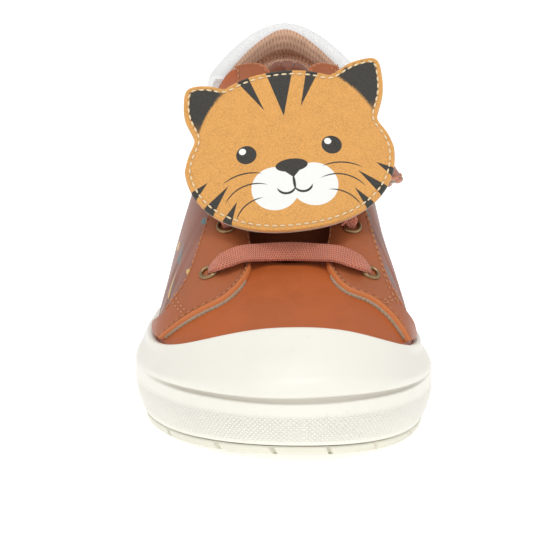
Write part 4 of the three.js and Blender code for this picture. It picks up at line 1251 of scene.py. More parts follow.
def sew(name, rows, thread, slot):
    """One piece of stitches along rows of (points, normals), in millimetres."""
    sizes = bpy.context.scene.sneaker_sizes
    points = np.concatenate([row[0] for row in rows])
    normals = np.concatenate([row[1] for row in rows])
    edges = []
    start = 0
    for row in rows:
        count = len(row[0])
        edges += [(start + i, start + i + 1) for i in range(count - 1)]
        start += count
    mesh = bpy.data.meshes.new(name)
    mesh.from_pydata(((points + SHIFT) * MM).tolist(), edges, [])
    made = mesh.attributes.new("outward", "FLOAT_VECTOR", "POINT")
    made.data.foreach_set("vector", normals.astype(np.float32).ravel())
    piece = bpy.data.objects.new(name, mesh)
    bpy.context.scene.collection.objects.link(piece)
    modifier = piece.modifiers.new("Stitches", "NODES")
    tree = stitch_tree()
    values = {
        "Pitch": (sizes.stitch_length + sizes.stitch_gap) * MM,
        "Stitch length": sizes.stitch_length * MM,
        "Thread width": sizes.thread_width * MM,
        "Thread": thread,
    }
    for item in tree.interface.items_tree:
        if item.in_out == "INPUT" and item.name in values:
            modifier[item.identifier] = values[item.name]
    modifier.node_group = tree
    for item in tree.interface.items_tree:
        if item.in_out == "INPUT" and item.name in values:
            modifier[item.identifier] = values[item.name]
    bpy.context.view_layer.update()
    evaluated = piece.evaluated_get(bpy.context.evaluated_depsgraph_get())
    result = bpy.data.meshes.new_from_object(evaluated)
    piece.modifiers.remove(modifier)
    piece.data = result
    result.name = name
    result.polygons.foreach_set("use_smooth", np.ones(len(result.polygons), bool))
    return finish_piece(piece, slot)


# Sole


def sole_pieces():
    turns = np.linspace(0, 2 * np.pi, ROUND_STEPS, endpoint=False)
    along = along_of(turns)
    lengths = arc_lengths(outline(turns))
    around = np.append(lengths, 2 * lengths[-1] - lengths[-2])
    groove = sole_bottom(along) + GROOVE_RISE
    normal, edge = outline_normal(turns), outline(turns)
    fade = 1 - ease(0.10, 0.26, along)
    groove = groove - GROOVE_DIP * np.exp(-((outline(turns)[:, 0] / GROOVE_DIP_REACH) ** 2)) * fade
    low_inset = column(
        [
            {"share": 0.0, "inset": RIM_INSET},
            {"share": 0.22, "inset": 1.1},
            {"share": 0.55, "inset": 0.2},
            {"share": 1.0, "inset": 0.1},
        ],
        "share",
        "inset",
    )
    rows, hatch, seam_shade = [], [], []
    for share in np.concatenate([np.linspace(0, 0.88, 16), np.linspace(0.9, 1.0, 12)]):
        height = mix(cup_bottom(along), groove, share)
        cut = GROOVE_CUT * fade * np.exp(-(((groove - height) / GROOVE_HALF) ** 2))
        points = edge - normal * (low_inset(share) + cut)[:, None]
        points[:, 2] = height
        rows.append(points)
        hatch.append(ease(0.04, 0.10, share) * (1 - ease(0.66, 0.74, share)) * (1 - ease(0.24, 0.34, along)))
        # Painted shade along the groove under the cap
        seam_shade.append(fade * np.exp(-(((groove - height) / GROOVE_SHADE) ** 2)))
    start, top = share_at_height(turns, groove), edge_share(turns)
    under = ((edge - surface(turns, start)) * normal).sum(-1) - 0.15
    for share in np.concatenate([np.linspace(0.006, 0.08, 12), np.linspace(0.1, 0.9, 34)]):
        place = mix(start, top, share)
        rise = surface(turns, place)[:, 2] - groove
        bump = RIDGE_RELIEF * fade * np.exp(-(((share - 0.16) / 0.10) ** 2))
        cut = GROOVE_CUT * fade * np.exp(-((rise / GROOVE_HALF) ** 2))
        rows.append(skin(turns, place, mix(under, SOLE_EDGE_THICKNESS, ease(0, 0.75, share)) + bump - cut))
        hatch.append(0 * along)
        seam_shade.append(fade * np.exp(-((rise / GROOVE_SHADE) ** 2)))
    for turn in np.linspace(0, math.pi / 2, 9):
        share = 0.92 + 0.08 * math.sin(turn)
        thick = CLEARANCE * 0.5 + (SOLE_EDGE_THICKNESS - CLEARANCE * 0.5) * math.cos(turn)
        rows.append(skin(turns, mix(start, top, share), thick + 0 * turns))
        hatch.append(0 * along)
        seam_shade.append(0 * along)
    for share in (0.85, 0.5, 0.2):
        rows.append(skin(turns, share * top, CLEARANCE * 0.5 + 0 * turns))
        hatch.append(0 * along)
        seam_shade.append(0 * along)
    bed = feather(turns) + normal * CLEARANCE
    bed[:, 2] = bed_height(along)
    rows.append(bed)
    hatch.append(0 * along)
    seam_shade.append(0 * along)
    loops = np.array(rows)
    heights = loops[:, 0, 2]
    colours = bpy.context.scene.sneaker_colours
    rubber = rubber_material("Off-white rubber", tuple(colours.rubber))
    fields = {"hatch": np.array(hatch), "seam_shade": 0.6 * np.array(seam_shade)}
    moulding = loft("sole_moulding", loops, (around, heights), [rubber], strips=True, attributes=fields)
    finish_piece(moulding, "sole_rubber", "cupsole")


def tread_piece():
    """The outsole: a notched rim, a flat top and a tread with cross grooves."""
    turns = np.linspace(0, 2 * np.pi, TREAD_STEPS, endpoint=False)
    half = TREAD_STEPS // 2
    along, normal = along_of(turns), outline_normal(turns)
    length = arc_lengths(outline(np.append(turns, 2 * np.pi)))
    notch_places = (np.arange(NOTCH_COUNT) + 0.5) / NOTCH_COUNT * 2 * np.pi
    notch_lengths = np.interp(notch_places, np.append(turns, 2 * np.pi), length)
    rows = []
    for share in np.linspace(0, 1, 7):
        rise = OUTSOLE_THICKNESS * share
        soft = 0.35 * ((2 * share - 1) ** 6)
        slant = NOTCH_SLANT * (rise - OUTSOLE_THICKNESS / 2)
        away = np.abs(length[:-1, None] - notch_lengths[None] - slant).min(1)
        cut = NOTCH_DEPTH * (1 - ease(NOTCH_WIDTH / 2 - 0.2, NOTCH_WIDTH / 2 + 0.2, away))
        cut = cut * (1 - ease(0.80, 0.95, share))
        inset = RIM_INSET + 0.6 * (1 - share) + soft + cut
        points = outline(turns) - normal * inset[:, None]
        points[:, 2] = sole_bottom(along) + rise
        rows.append(points)
    loops = np.array(rows)
    faces, corners = grid_faces(*loops.shape[:2], wrap_cols=True)
    rises = np.linspace(0, OUTSOLE_THICKNESS, len(rows))
    places = np.stack([length[corners[..., 1]], rises[corners[..., 0]]], -1)
    crosswise = (1 + np.sin(np.linspace(-np.pi / 2, np.pi / 2, 33))) / 2

    def level(loop):
        left, right = loop[: half + 1], loop[(-np.arange(half + 1)) % TREAD_STEPS]
        return mix(left[:, None], right[:, None], crosswise[None, :, None])

    bottom, top = level(loops[0]), level(loops[-1])
    share = bottom[..., 1] / LENGTH + 0.5
    front = share < 0.5
    lean = np.where(front, TREAD_TURN[0], TREAD_TURN[1]) * bottom[..., 0] / LENGTH
    first = np.where(front, 0.10, 0.72)
    grooved = (share > 0.09) & (share < 0.44) | (share > 0.71) & (share < 0.945)
    phase = np.mod((share - lean - first) * LENGTH / TREAD_PITCH + 0.5, 1) - 0.5
    away = np.abs(phase) * TREAD_PITCH / (TREAD_WIDTH / 2)
    inside = 1 - ease(0.78, 0.86, np.abs(2 * crosswise - 1))[None, :]
    bottom[..., 2] += TREAD_DEPTH * (1 - ease(0.8, 1.15, away)) * inside * grooved
    points, all_faces, all_places = [loops.reshape(-1, 3)], [faces], [places]
    for grid, flip in ((bottom, False), (top, True)):
        start = sum(len(part) for part in points)
        made, corner = grid_faces(*grid.shape[:2], start=start, flip=flip)
        points.append(grid.reshape(-1, 3))
        all_faces.append(made)
        all_places.append(grid[corner[..., 0], corner[..., 1]][..., :2])
    rubber = rubber_material("Outsole rubber", OUTSOLE_COLOUR)
    parts = (np.concatenate(part) for part in (points, all_faces, all_places))
    finish_piece(make_piece("outsole_tread", *parts, [rubber]), "outsole_rubber", "outsole")


# Upper


def quarter_field(angle, up):
    """1 on the printed quarters, 0 on the vamp and the plain strip under the collar."""
    foot = along_of(angle)
    rows = [
        (front["lateralUp"] / 2 + back["lateralUp"] / 2, front["lateralFoot"] / 2 + back["lateralFoot"] / 2)
        for front, back in zip(FACING_FRONT, FACING_BACK)
    ]
    ups, feet = zip(*sorted(rows))
    bound = np.interp(up, ups, feet)
    behind = ease(-0.004, 0.004, foot - bound)
    return behind * (1 - ease(0.815, 0.822, up))


def upper_pieces():
    turns = np.linspace(0, 2 * np.pi, ROUND_STEPS, endpoint=False)
    colours = bpy.context.scene.sneaker_colours
    top = shell_top(turns)
    rows, kinds, seam_shade, quarter = [], [], [], []
    low = edge_share(turns)
    for share in np.linspace(0, 0.985, 86):
        place = share * top
        up = np.clip((place - low) / (1 - low), 0, 1)
        rows.append(skin(turns, place, crease_field(turns, up)))
        # Painted shade along the heel seam and the line under the collar
        centre_back = np.exp(-((np.minimum(np.abs(turns - np.pi), 9) / 0.012) ** 2))
        strip = np.exp(-(((up - 0.818) / 0.006) ** 2)) * ease(0.55, 0.6, along_of(turns))
        seam_shade.append(np.maximum(centre_back, strip) * 0.9)
        quarter.append(quarter_field(turns, up))
        kinds.append(0)
    for turn in np.linspace(0, np.pi, 9):
        depth = UPPER_WALL / 2
        place = top * (0.985 + 0.015 * math.sin(turn))
        rows.append(skin(turns, place, depth * (math.cos(turn) - 1) + 0 * turns))
        seam_shade.append(0 * turns)
        quarter.append(0 * turns)
        kinds.append(0 if turn < 1 else 1)
    for share in np.linspace(0.98, 0, 60):
        swell = ease(COLLAR_START - 0.06, COLLAR_START + 0.04, along_of(turns)) * ease(0.6, 0.97, share)
        rows.append(skin(turns, share * top, -UPPER_WALL - LINING_SWELL * swell))
        seam_shade.append(0 * turns)
        quarter.append(0 * turns)
        kinds.append(1)
    loops = np.array(rows)
    lengths = arc_lengths(feather(turns))
    around = np.append(lengths, 2 * lengths[-1] - lengths[-2])
    heel = loops[:, ROUND_STEPS // 2]
    leather = upper_material(tuple(colours.leather), tuple(colours.quarter))
    lining = lining_material()
    fields = {"seam_shade": np.array(seam_shade), "quarter": np.array(quarter), "edge": 0 * np.array(seam_shade)}
    piece = loft(
        "upper_shell",
        loops,
        (around, arc_lengths(heel)),
        [leather, lining],
        row_slots=kinds,
        closed=True,
        attributes=fields,
    )
    finish_piece(piece, "leather", "upper")


def crease_field(angle, up):
    """Soft flex troughs beside the ball of the foot and at the ankle."""
    foot = along_of(angle)
    relief = 0 * foot
    for row in FLEX_TROUGHS:
        line = foot - row["along"] - row["lean"] * (up - row["height"])
        reach = np.exp(-(((up - row["height"]) / 0.22) ** 2))
        trough = np.exp(-((line / 0.011) ** 2))
        ridge_beside = 0.5 * np.exp(-(((line - 0.02) / 0.014) ** 2))
        relief = relief + row["depth"] * (ridge_beside - trough) * reach
    return relief


def upper_material(leather_colour, quarter_colour):
    """The shell's leather: plain at the vamp, printed at the quarters."""
    material, tree, shader = new_material("Upper leather", leather_colour, 0.45, **LEATHER_FINISH)
    if tree is None:
        return material
    place = millimetres(tree)
    grain = place_group(tree, "Grain", {"Place": place, "Grain size": 0.55, "Mottle size": 11.0})
    mottle = ramp(tree, grain.outputs["Mottle"], 0.3, 0.7)
    vamp = blend(tree, mottle, dimmed(leather_colour, 0.93), dimmed(leather_colour, 1.06))
    quarter = blend(tree, mottle, dimmed(quarter_colour, 0.85), dimmed(quarter_colour, 1.15))
    quarter = leaf_print(tree, quarter, LEAF_COLOURS)
    tone = blend(tree, field(tree, "quarter"), vamp, quarter)
    # Painted shade: the seam mask darkens the heel seam and the line under the collar.
    tone = blend(tree, field(tree, "seam_shade"), tone, dimmed(leather_colour, 0.4))
    wear = place_group(tree, "Wear", {"Place": place, "Size": 8.0, "Amount": 0.35})
    tone = blend(tree, wear.outputs["Mask"], tone, dimmed(leather_colour, 1.5))
    tree.links.new(tone, shader.inputs["Base Color"])
    tree.links.new(ramp(tree, grain.outputs["Mottle"], 0.25, 0.75, 0.36, 0.52), shader.inputs["Roughness"])
    height = maths(tree, "MULTIPLY_ADD", field(tree, "seam_shade"), -3.0, grain.outputs["Height"])
    set_bump(tree, shader, height, 0.10, 0.7)
    return material


def lining_material():
    return knit_material("Peach knit lining", LINING_COLOUR, LINING_HOLE_SHADE_COLOUR, 1.5, 1.9, 0.3)


def heel_stitches():
    rows = []
    for side in (-1, 1):
        angle = np.pi + side * 0.035 + 0 * np.linspace(0, 1, 60)
        share = np.linspace(0.32, 0.80, 60)
        rows.append((skin(angle, share, 0.12 + 0 * share), surface_normal(angle, share)))
        turn = turn_of(side, np.linspace(0.62, 0.965, 120))
        share = share_past(turn, 0.795 + 0 * turn)
        rows.append((skin(turn, share, 0.12 + 0 * share), surface_normal(turn, share)))
    return rows


# Facings


def facing_distances(side, across, down):
    """Distances in millimetres from a place on a facing to its front, back and top edges."""
    points = skin(*facing_place(side, across, down), 0 * across)
    front = skin(*facing_place(side, 0 * across, down), 0 * across)
    back = skin(*facing_place(side, 0 * across + 1, down), 0 * across)
    top = skin(*facing_place(side, across, 0 * down), 0 * across)
    to = lambda other: np.linalg.norm(points - other, axis=-1)
    return to(front), to(back), to(top)


def facing_pieces():
    colours = bpy.context.scene.sneaker_colours
    leather = leather_material("Facing leather", tuple(colours.facing))
    inset = bpy.context.scene.sneaker_sizes.seam_inset
    backing = cloth_material("Raw backing", BACKING_COLOUR, 0.95, 0.35, 0.25)
    spread = (1 - np.cos(np.linspace(0, np.pi, 130))) / 2
    across = mix(np.linspace(0, 1, 130), spread, 0.75)
    down = mix(np.linspace(0, 1, 170), (1 - np.cos(np.linspace(0, np.pi, 170))) / 2, 0.5)
    d, a = np.meshgrid(down, across, indexing="ij")
    for side, word in WORDS.items():
        front, back, top = facing_distances(side, a, d)
        nearest = np.minimum(np.minimum(front, back), top)
        rim = 0.75
        round_off = np.sqrt(np.clip(1 - (1 - np.clip(nearest / rim, 0, 1)) ** 2, 0, 1))
        bead = 0.28 * np.exp(-(((front - 0.75) / 0.55) ** 2)) + 0.10 * np.exp(-(((top - 0.75) / 0.6) ** 2))
        stitch_dip = 0.14 * np.exp(-(((front - 1.75) / 0.4) ** 2))
        thick = mix(0.22, FACING_THICKNESS, round_off) + bead * round_off - stitch_dip
        angle, share = facing_place(side, a, d)
        base = 0.08
        outer = skin(angle, share, base + thick)
        inner = skin(angle, share, base + 0 * thick)
        # The edge mask paints a highlight on the folded front and top edges; the seam mask paints shade at
        # the back edge and along the stitch dips.
        fields = {
            "edge": 0.85 * (1 - ease(0.5, 1.1, front)) + 0.35 * (1 - ease(0.3, 0.9, top)) * (front > 1.1),
            "seam_shade": 0.75 * (1 - ease(0.0, 0.35, back))
            + 0.30 * np.exp(-(((front - inset - 0.45) / 0.33) ** 2))
            + 0.25 * np.exp(-(((back - 0.75 * inset) / 0.33) ** 2)),
        }
        uv = np.stack([a * 20, d * 70], -1)
        piece = sheet(f"facing_{word}_leather", outer, inner, uv, [leather], attributes=fields)
        finish_piece(piece, "leather", f"facing_{word}")
        finish_piece(raw_edge(side, word, backing), "leather")


def raw_edge(side, word, material):
    """The backing that looks out under a facing's folded front edge."""
    down = np.linspace(0.30, 0.985, 160)
    angle, share = facing_place(side, 0 * down, down)
    line = surface(angle, share)
    normal = surface_normal(angle, share)
    tangent = unit(np.gradient(line, axis=0))
    away = unit(np.cross(normal, tangent)) * (1 if side > 0 else -1)
    inner_line = surface(*facing_place(side, 0 * down + 0.1, down))
    away = away * np.sign(dot(away, line - inner_line))
    wave = 0.09 * np.sin(down * 210) + 0.07 * np.sin(down * 391 + 1)
    width = (RAW_EDGE_WIDTH + wave) * np.sin(np.pi * np.clip((down - 0.30) / 0.685, 0, 1)) ** 0.4
    strips = np.linspace(-0.6, 1, 9)
    grid = [line + away * (width * k if k > 0 else 0 * width + k)[:, None] for k in strips]
    grid = np.stack(grid, 1)
    rise = 0.55 * np.sqrt(np.clip(1 - np.clip(strips, 0, 1) ** 4, 0, 1))
    outer = grid + normal[:, None] * (0.06 + rise[None, :, None])
    inner = grid + normal[:, None] * 0.02
    uv = np.stack(np.meshgrid(down * 70, strips, indexing="ij"), -1)
    return sheet(f"facing_{word}_backing", outer, inner, uv, [material])


def facing_row(side, across, down, lift=0.16):
    angle, share = facing_place(side, across, down)
    normal = surface_normal(angle, share)
    return skin(angle, share, FACING_THICKNESS + 0.08 + lift - 0.1 + 0 * across), normal


def inset_across(side, down, inset, from_back=False):
    """Share across a facing that lies an inset in millimetres from its front or back edge."""
    front = skin(*facing_place(side, 0 * down, down), 0 * down)
    back = skin(*facing_place(side, 0 * down + 1, down), 0 * down)
    width = np.linalg.norm(back - front, axis=-1)
    share = np.clip(inset / np.maximum(width, 1e-3), 0, 0.5)
    return 1 - share if from_back else share


def facing_stitches():
    inset = bpy.context.scene.sneaker_sizes.seam_inset
    rows = []
    for side in (-1, 1):
        down = np.linspace(0.012, 0.93, 260)
        rows.append(facing_row(side, inset_across(side, down, inset + 0.45), down))
        down = np.linspace(0.012, 0.80, 240)
        rows.append(facing_row(side, inset_across(side, down, inset * 0.75, True), down))
        across = np.linspace(0.06, 0.94, 120)
        rows.append(facing_row(side, across, 0.022 + 0 * across))
        if side > 0:
            down = np.linspace(0.06, 0.78, 220)
            rows.append(facing_row(side, inset_across(side, down, inset * 0.75 + 1.5, True), down))
        across = np.linspace(0.30, 0.96, 40)
        for place in (0.735, 0.757):
            rows.append(facing_row(side, across, place + 0.02 * (across - 0.3)))
    return rows


# Tongue, collar and insole


def tongue_piece():
    feet = np.array(TONGUE_FEET)
    fine = np.interp(np.linspace(0, 1, 90), np.linspace(0, 1, len(feet)), feet)
    turns = np.concatenate([angle_of(fine), [0.0], 2 * np.pi - angle_of(fine)[::-1]])
    shares = np.concatenate([np.linspace(2, 1, 26), np.linspace(0.985, 0.88, 8)])
    depth = UPPER_WALL + 2 * CLEARANCE
    t, s = np.meshgrid(turns, shares, indexing="ij")
    rim = np.minimum(np.arange(len(turns)), np.arange(len(turns))[::-1])[:, None]
    soft = 0.5 * np.exp(-rim / 2.0) + 0 * s
    over_ridge = ease(1.5, 1.9, s)[..., None]
    normal = unit(mix(surface_normal(t, s), RIDGE_NORMAL, over_ridge))
    middle = surface(t, s) - normal * (depth + TONGUE_THICKNESS / 2)
    half = normal * (TONGUE_THICKNESS / 2 - soft)[..., None]
    outer, inner = middle + half, middle - half
    away = unit(np.array([0, 1, 0.2])) * TONGUE_LENGTHENED
    outer = np.concatenate([outer[:1] + away, outer, outer[-1:] + away])
    inner = np.concatenate([inner[:1] + away, inner, inner[-1:] + away])
    place = np.stack([outer[..., 0], outer[..., 2]], -1)
    leather = leather_material("Tongue leather", TONGUE_COLOUR)
    piece = sheet("tongue_leather", outer, inner, place, [leather, lining_material(), leather], folded=True)
    finish_piece(piece, "tongue_leather", "tongue")


def collar_piece():
    along = np.linspace(COLLAR_START + 0.004, 1, 120)
    half = angle_of(along)
    turns = np.concatenate([half, 2 * np.pi - half[-2::-1]])
    low = shell_top(turns) + 0.0008
    middle = (low + 1) / 2
    inside = COLLAR_PROUD - COLLAR_THICKNESS
    corners = [
        (low, 0.0),
        (mix(low, middle, 0.6), COLLAR_PROUD),
        (mix(middle, 1, 0.7), COLLAR_PROUD * 0.8),
        (0 * low + 1.0, COLLAR_PROUD - 1.4),
        (0 * low + 1.0, inside + 1.4),
        (mix(middle, 1, 0.6), inside),
        (mix(low, middle, 0.5), inside),
        (low, -UPPER_WALL),
    ]
    ring = np.array([skin(turns, share, offset + 0 * turns) for share, offset in corners])
    count = 48
    places = np.linspace(0, len(corners), count, endpoint=False)
    i = places.astype(int)
    k = (places - i)[:, None, None]
    at = lambda n: ring[(i + n) % len(corners)]
    slope_a, slope_b = (at(1) - at(-1)) / 2, (at(2) - at(0)) / 2
    loops = (1 + 2 * k) * (1 - k) ** 2 * at(0) + k * (1 - k) ** 2 * slope_a
    loops = loops + k * k * (3 - 2 * k) * at(1) - k * k * (1 - k) * slope_b
    ends = ease(0, 0.03, np.minimum(np.linspace(0, 1, len(turns)), np.linspace(1, 0, len(turns))))
    heart = loops.mean(0, keepdims=True)
    loops = mix(heart, loops, (0.72 + 0.28 * ends)[None, :, None])
    loops = loops.transpose(1, 0, 2)
    rows, cols = loops.shape[:2]
    faces, corner = grid_faces(rows, cols, wrap_cols=True)
    u = arc_lengths(loops[:, 0])
    v = np.append(arc_lengths(loops[rows // 2]), 0)
    v[-1] = v[-2] + (v[-2] - v[-3])
    uv = np.stack([u[corner[..., 0]], v[np.minimum(corner[..., 1], cols)]], -1)
    section = corner[:, 0, 1]
    slots = np.where((section >= count * 4.6 / 8) & (section < count * 7.6 / 8), 1, 0)
    caps = end_caps(rows, cols)
    flat = loops.reshape(-1, 3)[caps][..., :2]
    white = cloth_material("White padded fabric", COLLAR_COLOUR, 0.75, 0.35, 0.08)
    piece = make_piece(
        "collar_pad",
        loops.reshape(-1, 3),
        np.concatenate([faces, caps]),
        np.concatenate([uv, flat]),
        [white, lining_material()],
        np.concatenate([slots, np.zeros(len(caps), int)]),
    )
    finish_piece(piece, "collar_fabric", "collar")


def insole_piece():
    turns = np.linspace(0, 2 * np.pi, ROUND_STEPS, endpoint=False)
    start, normal, along = feather(turns), outline_normal(turns), along_of(turns)
    base = bed_height(along) + CLEARANCE
    rows = []
    for turn in np.linspace(0, np.pi / 2, 7):
        inset = UPPER_WALL + CLEARANCE + 0.1 + 0.9 * (1 - math.cos(turn))
        points = start - normal * inset
        points[:, 2] = base + (INSOLE_THICKNESS - 0.9) * min(1.0, turn) + 0.9 * math.sin(turn)
        rows.append(points)
    loops = np.array(rows)
    lengths = arc_lengths(start)
    around = np.append(lengths, 2 * lengths[-1] - lengths[-2])
    cloth = knit_material("Insole cloth", dimmed(LINING_COLOUR, 0.9), LINING_HOLE_SHADE_COLOUR, 1.1, 1.1, 0.15)
    piece = loft("insole_liner", loops, (around, loops[:, 0, 2]), [cloth], strips=True)
    finish_piece(piece, "insole_fabric", "insole")


# Eyelets and elastic bars


def eyelet_frame(side, eyelet):
    angle = turn_of(side, eyelet["foot"])
    share = share_past(angle, eyelet["up"])
    normal = surface_normal(angle, share)
    return skin(angle, share, FACING_THICKNESS + CLEARANCE), normal


def eyelet_pieces():
    brass = brass_material()
    hole, barrel, flange = EYELET_HOLE_RADIUS, EYELET_BARREL_RADIUS, EYELET_FLANGE_RADIUS
    depth = FACING_THICKNESS + CLEARANCE + UPPER_WALL
    low, high = -0.12, 0.48
    roll = [
        (mix(hole, flange, 0.5) - (flange - hole) / 2 * math.cos(turn), low + (high - low) * math.sin(turn))
        for turn in np.linspace(0.25, math.pi - 0.02, 14)
    ]
    under_rim = [(flange, low - 0.1), (barrel, low - 0.1), (barrel, -depth)]
    profile = [(hole, -depth), *roll, *under_rim]
    profile = np.array(profile)
    spokes = np.linspace(0, 2 * np.pi, 48, endpoint=False)
    for side, word in WORDS.items():
        for eyelet in EYELETS:
            centre, normal = eyelet_frame(side, eyelet)
            first = unit(np.cross(normal, [0.3, 1, 0.2]))
            second = np.cross(normal, first)
            spin = np.cos(spokes)[:, None] * first + np.sin(spokes)[:, None] * second
            loops = centre + profile[:, 0][:, None, None] * spin + profile[:, 1][:, None, None] * normal
            around = np.linspace(0, 2 * np.pi * flange, len(spokes) + 1)
            name = f"eyelet_ring_{word}_{eyelet['row']}"
            piece = loft(name, loops, (around, arc_lengths(profile)), [brass], closed=True)
            finish_piece(piece, "eyelet_brass", f"eyelet_{word}_{eyelet['row']}")


def elastic_route(eyelet):
    across_at = lambda side: side * (1 - float(share_past(turn_of(side, eyelet["foot"]), eyelet["up"])) / 2)
    return [
        {"across": across_at(-1), "foot": eyelet["foot"]},
        {"across": -0.5, "foot": eyelet["crossing"]},
        {"across": 0.0, "foot": eyelet["ridge"]},
        {"across": 0.5, "foot": eyelet["crossing"]},
        {"across": across_at(1), "foot": eyelet["foot"]},
    ]


def relaxed(rows):
    """A path drawn taut between its ends, as an elastic lies."""
    rows = rows.copy()
    for _ in range(BAR_RELAXING):
        rows[1:-1] = (rows[:-2] + 2 * rows[1:-1] + rows[2:]) / 4
    return rows


def elastic_pieces():
    colours = bpy.context.scene.sneaker_colours
    knit = knit_material(
        "Elastic knit", tuple(colours.elastic), ELASTIC_HOLE_SHADE_COLOUR, 0.62, 0.62, 0.3, sheen=0.2
    )
    for eyelet in EYELETS:
        shares = np.linspace(0.085, 0.915, 31)
        point, across, normal, _ = band_frames(elastic_route(eyelet), shares)
        lift = OVER_FACING + 0.45 * ease(0.5, 0.75, np.abs(2 * shares - 1))
        line = point + normal * (lift + ELASTIC_THICKNESS / 2)[:, None]
        arch = BAR_ARCH * np.exp(-(((np.abs(2 * shares - 1) - 0.62) / 0.20) ** 2))
        line = relaxed(line) + normal * arch[:, None]
        across = unit(relaxed(across))
        starts = [eyelet_frame(side, eyelet) for side in (-1, 1)]
        (left, left_out), (right, right_out) = starts
        into_left, into_right = unit(line[0] - left), unit(line[-1] - right)
        path = [left - 3.2 * left_out, left - 1.2 * left_out + 0.15 * into_left]
        path += [left + 0.55 * left_out + 0.75 * into_left, *line]
        path += [right + 0.55 * right_out + 0.75 * into_right, right - 1.2 * right_out + 0.15 * into_right]
        path += [right - 3.2 * right_out]
        sides = [across[0]] * 3 + list(across) + [across[-1]] * 3
        count = 320
        path, wide = smooth_path(path, count), unit(smooth_path(sides, count))
        for _ in range(BAR_RELAXING):
            path[1:-1] = (path[:-2] + 2 * path[1:-1] + path[2:]) / 4
        tangent = unit(np.gradient(path, axis=0))
        wide = unit(wide - tangent * dot(wide, tangent))
        out = np.cross(wide, tangent)
        length = arc_lengths(path)
        from_end = np.minimum(length, length[-1] - length)
        spread = ease(2.6, 6.8, from_end)
        half = mix(0.85, ELASTIC_WIDTH / 2, spread)
        thick = mix(1.5, ELASTIC_THICKNESS, spread) / 2
        spokes = np.linspace(0, 2 * np.pi, 40, endpoint=False)
        power = 0.45
        x = np.sign(np.cos(spokes)) * np.abs(np.cos(spokes)) ** power
        z = np.sign(np.sin(spokes)) * np.abs(np.sin(spokes)) ** 0.9
        cord = 1 + 0.35 * np.exp(-(((x + 0.92) / 0.14) ** 2)) + 0.15 * np.exp(-(((x - 0.94) / 0.12) ** 2))
        cupped = 0.22 * (x**2 - 0.5)
        loops = path[:, None] + wide[:, None] * (half[:, None] * x)[..., None]
        loops = loops + out[:, None] * (thick[:, None] * z * cord - cupped * spread[:, None] * 0.6)[..., None]
        rows, cols = loops.shape[:2]
        faces, corner = grid_faces(rows, cols, wrap_cols=True)
        round_length = np.append(arc_lengths(loops[rows // 2]), 0)
        round_length[-1] = round_length[-2] + (round_length[-2] - round_length[-3])
        uv = np.stack([length[corner[..., 0]], round_length[np.minimum(corner[..., 1], cols)]], -1)
        caps = end_caps(rows, cols)
        flat = loops.reshape(-1, 3)[caps][..., :2]
        name = f"elastic_bar_{eyelet['row']}"
        all_faces, all_uv = np.concatenate([faces, caps]), np.concatenate([uv, flat])
        piece = make_piece(name, loops.reshape(-1, 3), all_faces, all_uv, [knit])
        finish_piece(piece, "elastic_knit", f"elastic_{eyelet['row']}")


# Strap


def strap_grid(edges, offset, shares):
    point, across, normal, flare = band_frames(STRAP_ROUTE, shares)
    outward = OVER_ELASTIC + offset + STRAP_FLARE * flare[:, None] * (edges[None, :] + 1) / 2
    sideways = across[:, None] * (edges * STRAP_WIDTH / 2)[None, :, None]
    return point[:, None] + sideways + normal[:, None] * outward[..., None]


def strap_piece():
    shares = np.linspace(0, 1, 200)
    edges = np.sin(np.linspace(-np.pi / 2, np.pi / 2, 61))
    from_side = (1 - np.abs(edges)) * STRAP_WIDTH / 2
    length = arc_lengths(strap_grid(edges, 0 * edges, shares)[:, 30])
    from_end = np.minimum(length, length[-1] - length)
    near = np.minimum(from_side[None, :], from_end[:, None])
    round_off = np.sqrt(np.clip(1 - (1 - np.clip(near / 0.7, 0, 1)) ** 2, 0, 1))
    outer = strap_grid(edges, mix(STRAP_THICKNESS * 0.5, STRAP_THICKNESS, round_off), shares)
    inner = strap_grid(edges, STRAP_THICKNESS * 0.4 * (1 - round_off), shares)
    uv = np.stack(np.meshgrid(length, edges * STRAP_WIDTH / 2, indexing="ij"), -1)
    leather = leather_material("Strap leather", STRAP_COLOUR)
    pale = cloth_material("Strap backing", PALE_LEATHER_COLOUR, 0.9, 0.3, 0.15)
    # The edge mask paints a highlight along the strap's rim.
    fields = {"edge": 0.5 * (1 - ease(0.2, 0.7, near)), "seam_shade": 0 * near}
    piece = sheet("strap_band", outer, inner, uv, [leather, pale, leather], attributes=fields)
    finish_piece(piece, "leather", "strap")


def strap_stitches():
    shares = np.linspace(0.015, 0.985, 200)
    rows = []
    for edge in (-1, 1):
        place = np.array([edge * (1 - 2 * 1.3 / STRAP_WIDTH)])
        points = strap_grid(place, STRAP_THICKNESS + 0.06 + 0 * place, shares)[:, 0]
        normal = band_frames(STRAP_ROUTE, shares)[2]
        rows.append((points, normal))
    return rows


# Face patch


def patch_frame():
    middle = ridge(angle_of(np.array(PATCH_FOOT)))
    slope = np.cross(RIDGE_NORMAL, [1, 0, 0])
    roll = math.radians(PATCH_ROLL)
    right = np.array([math.cos(roll), 0, 0]) + slope * math.sin(roll)
    rise = np.array([-math.sin(roll), 0, 0]) + slope * math.cos(roll)
    lift = OVER_ELASTIC + STRAP_THICKNESS + CLEARANCE + 0.6
    return middle + RIDGE_NORMAL * lift, right, rise


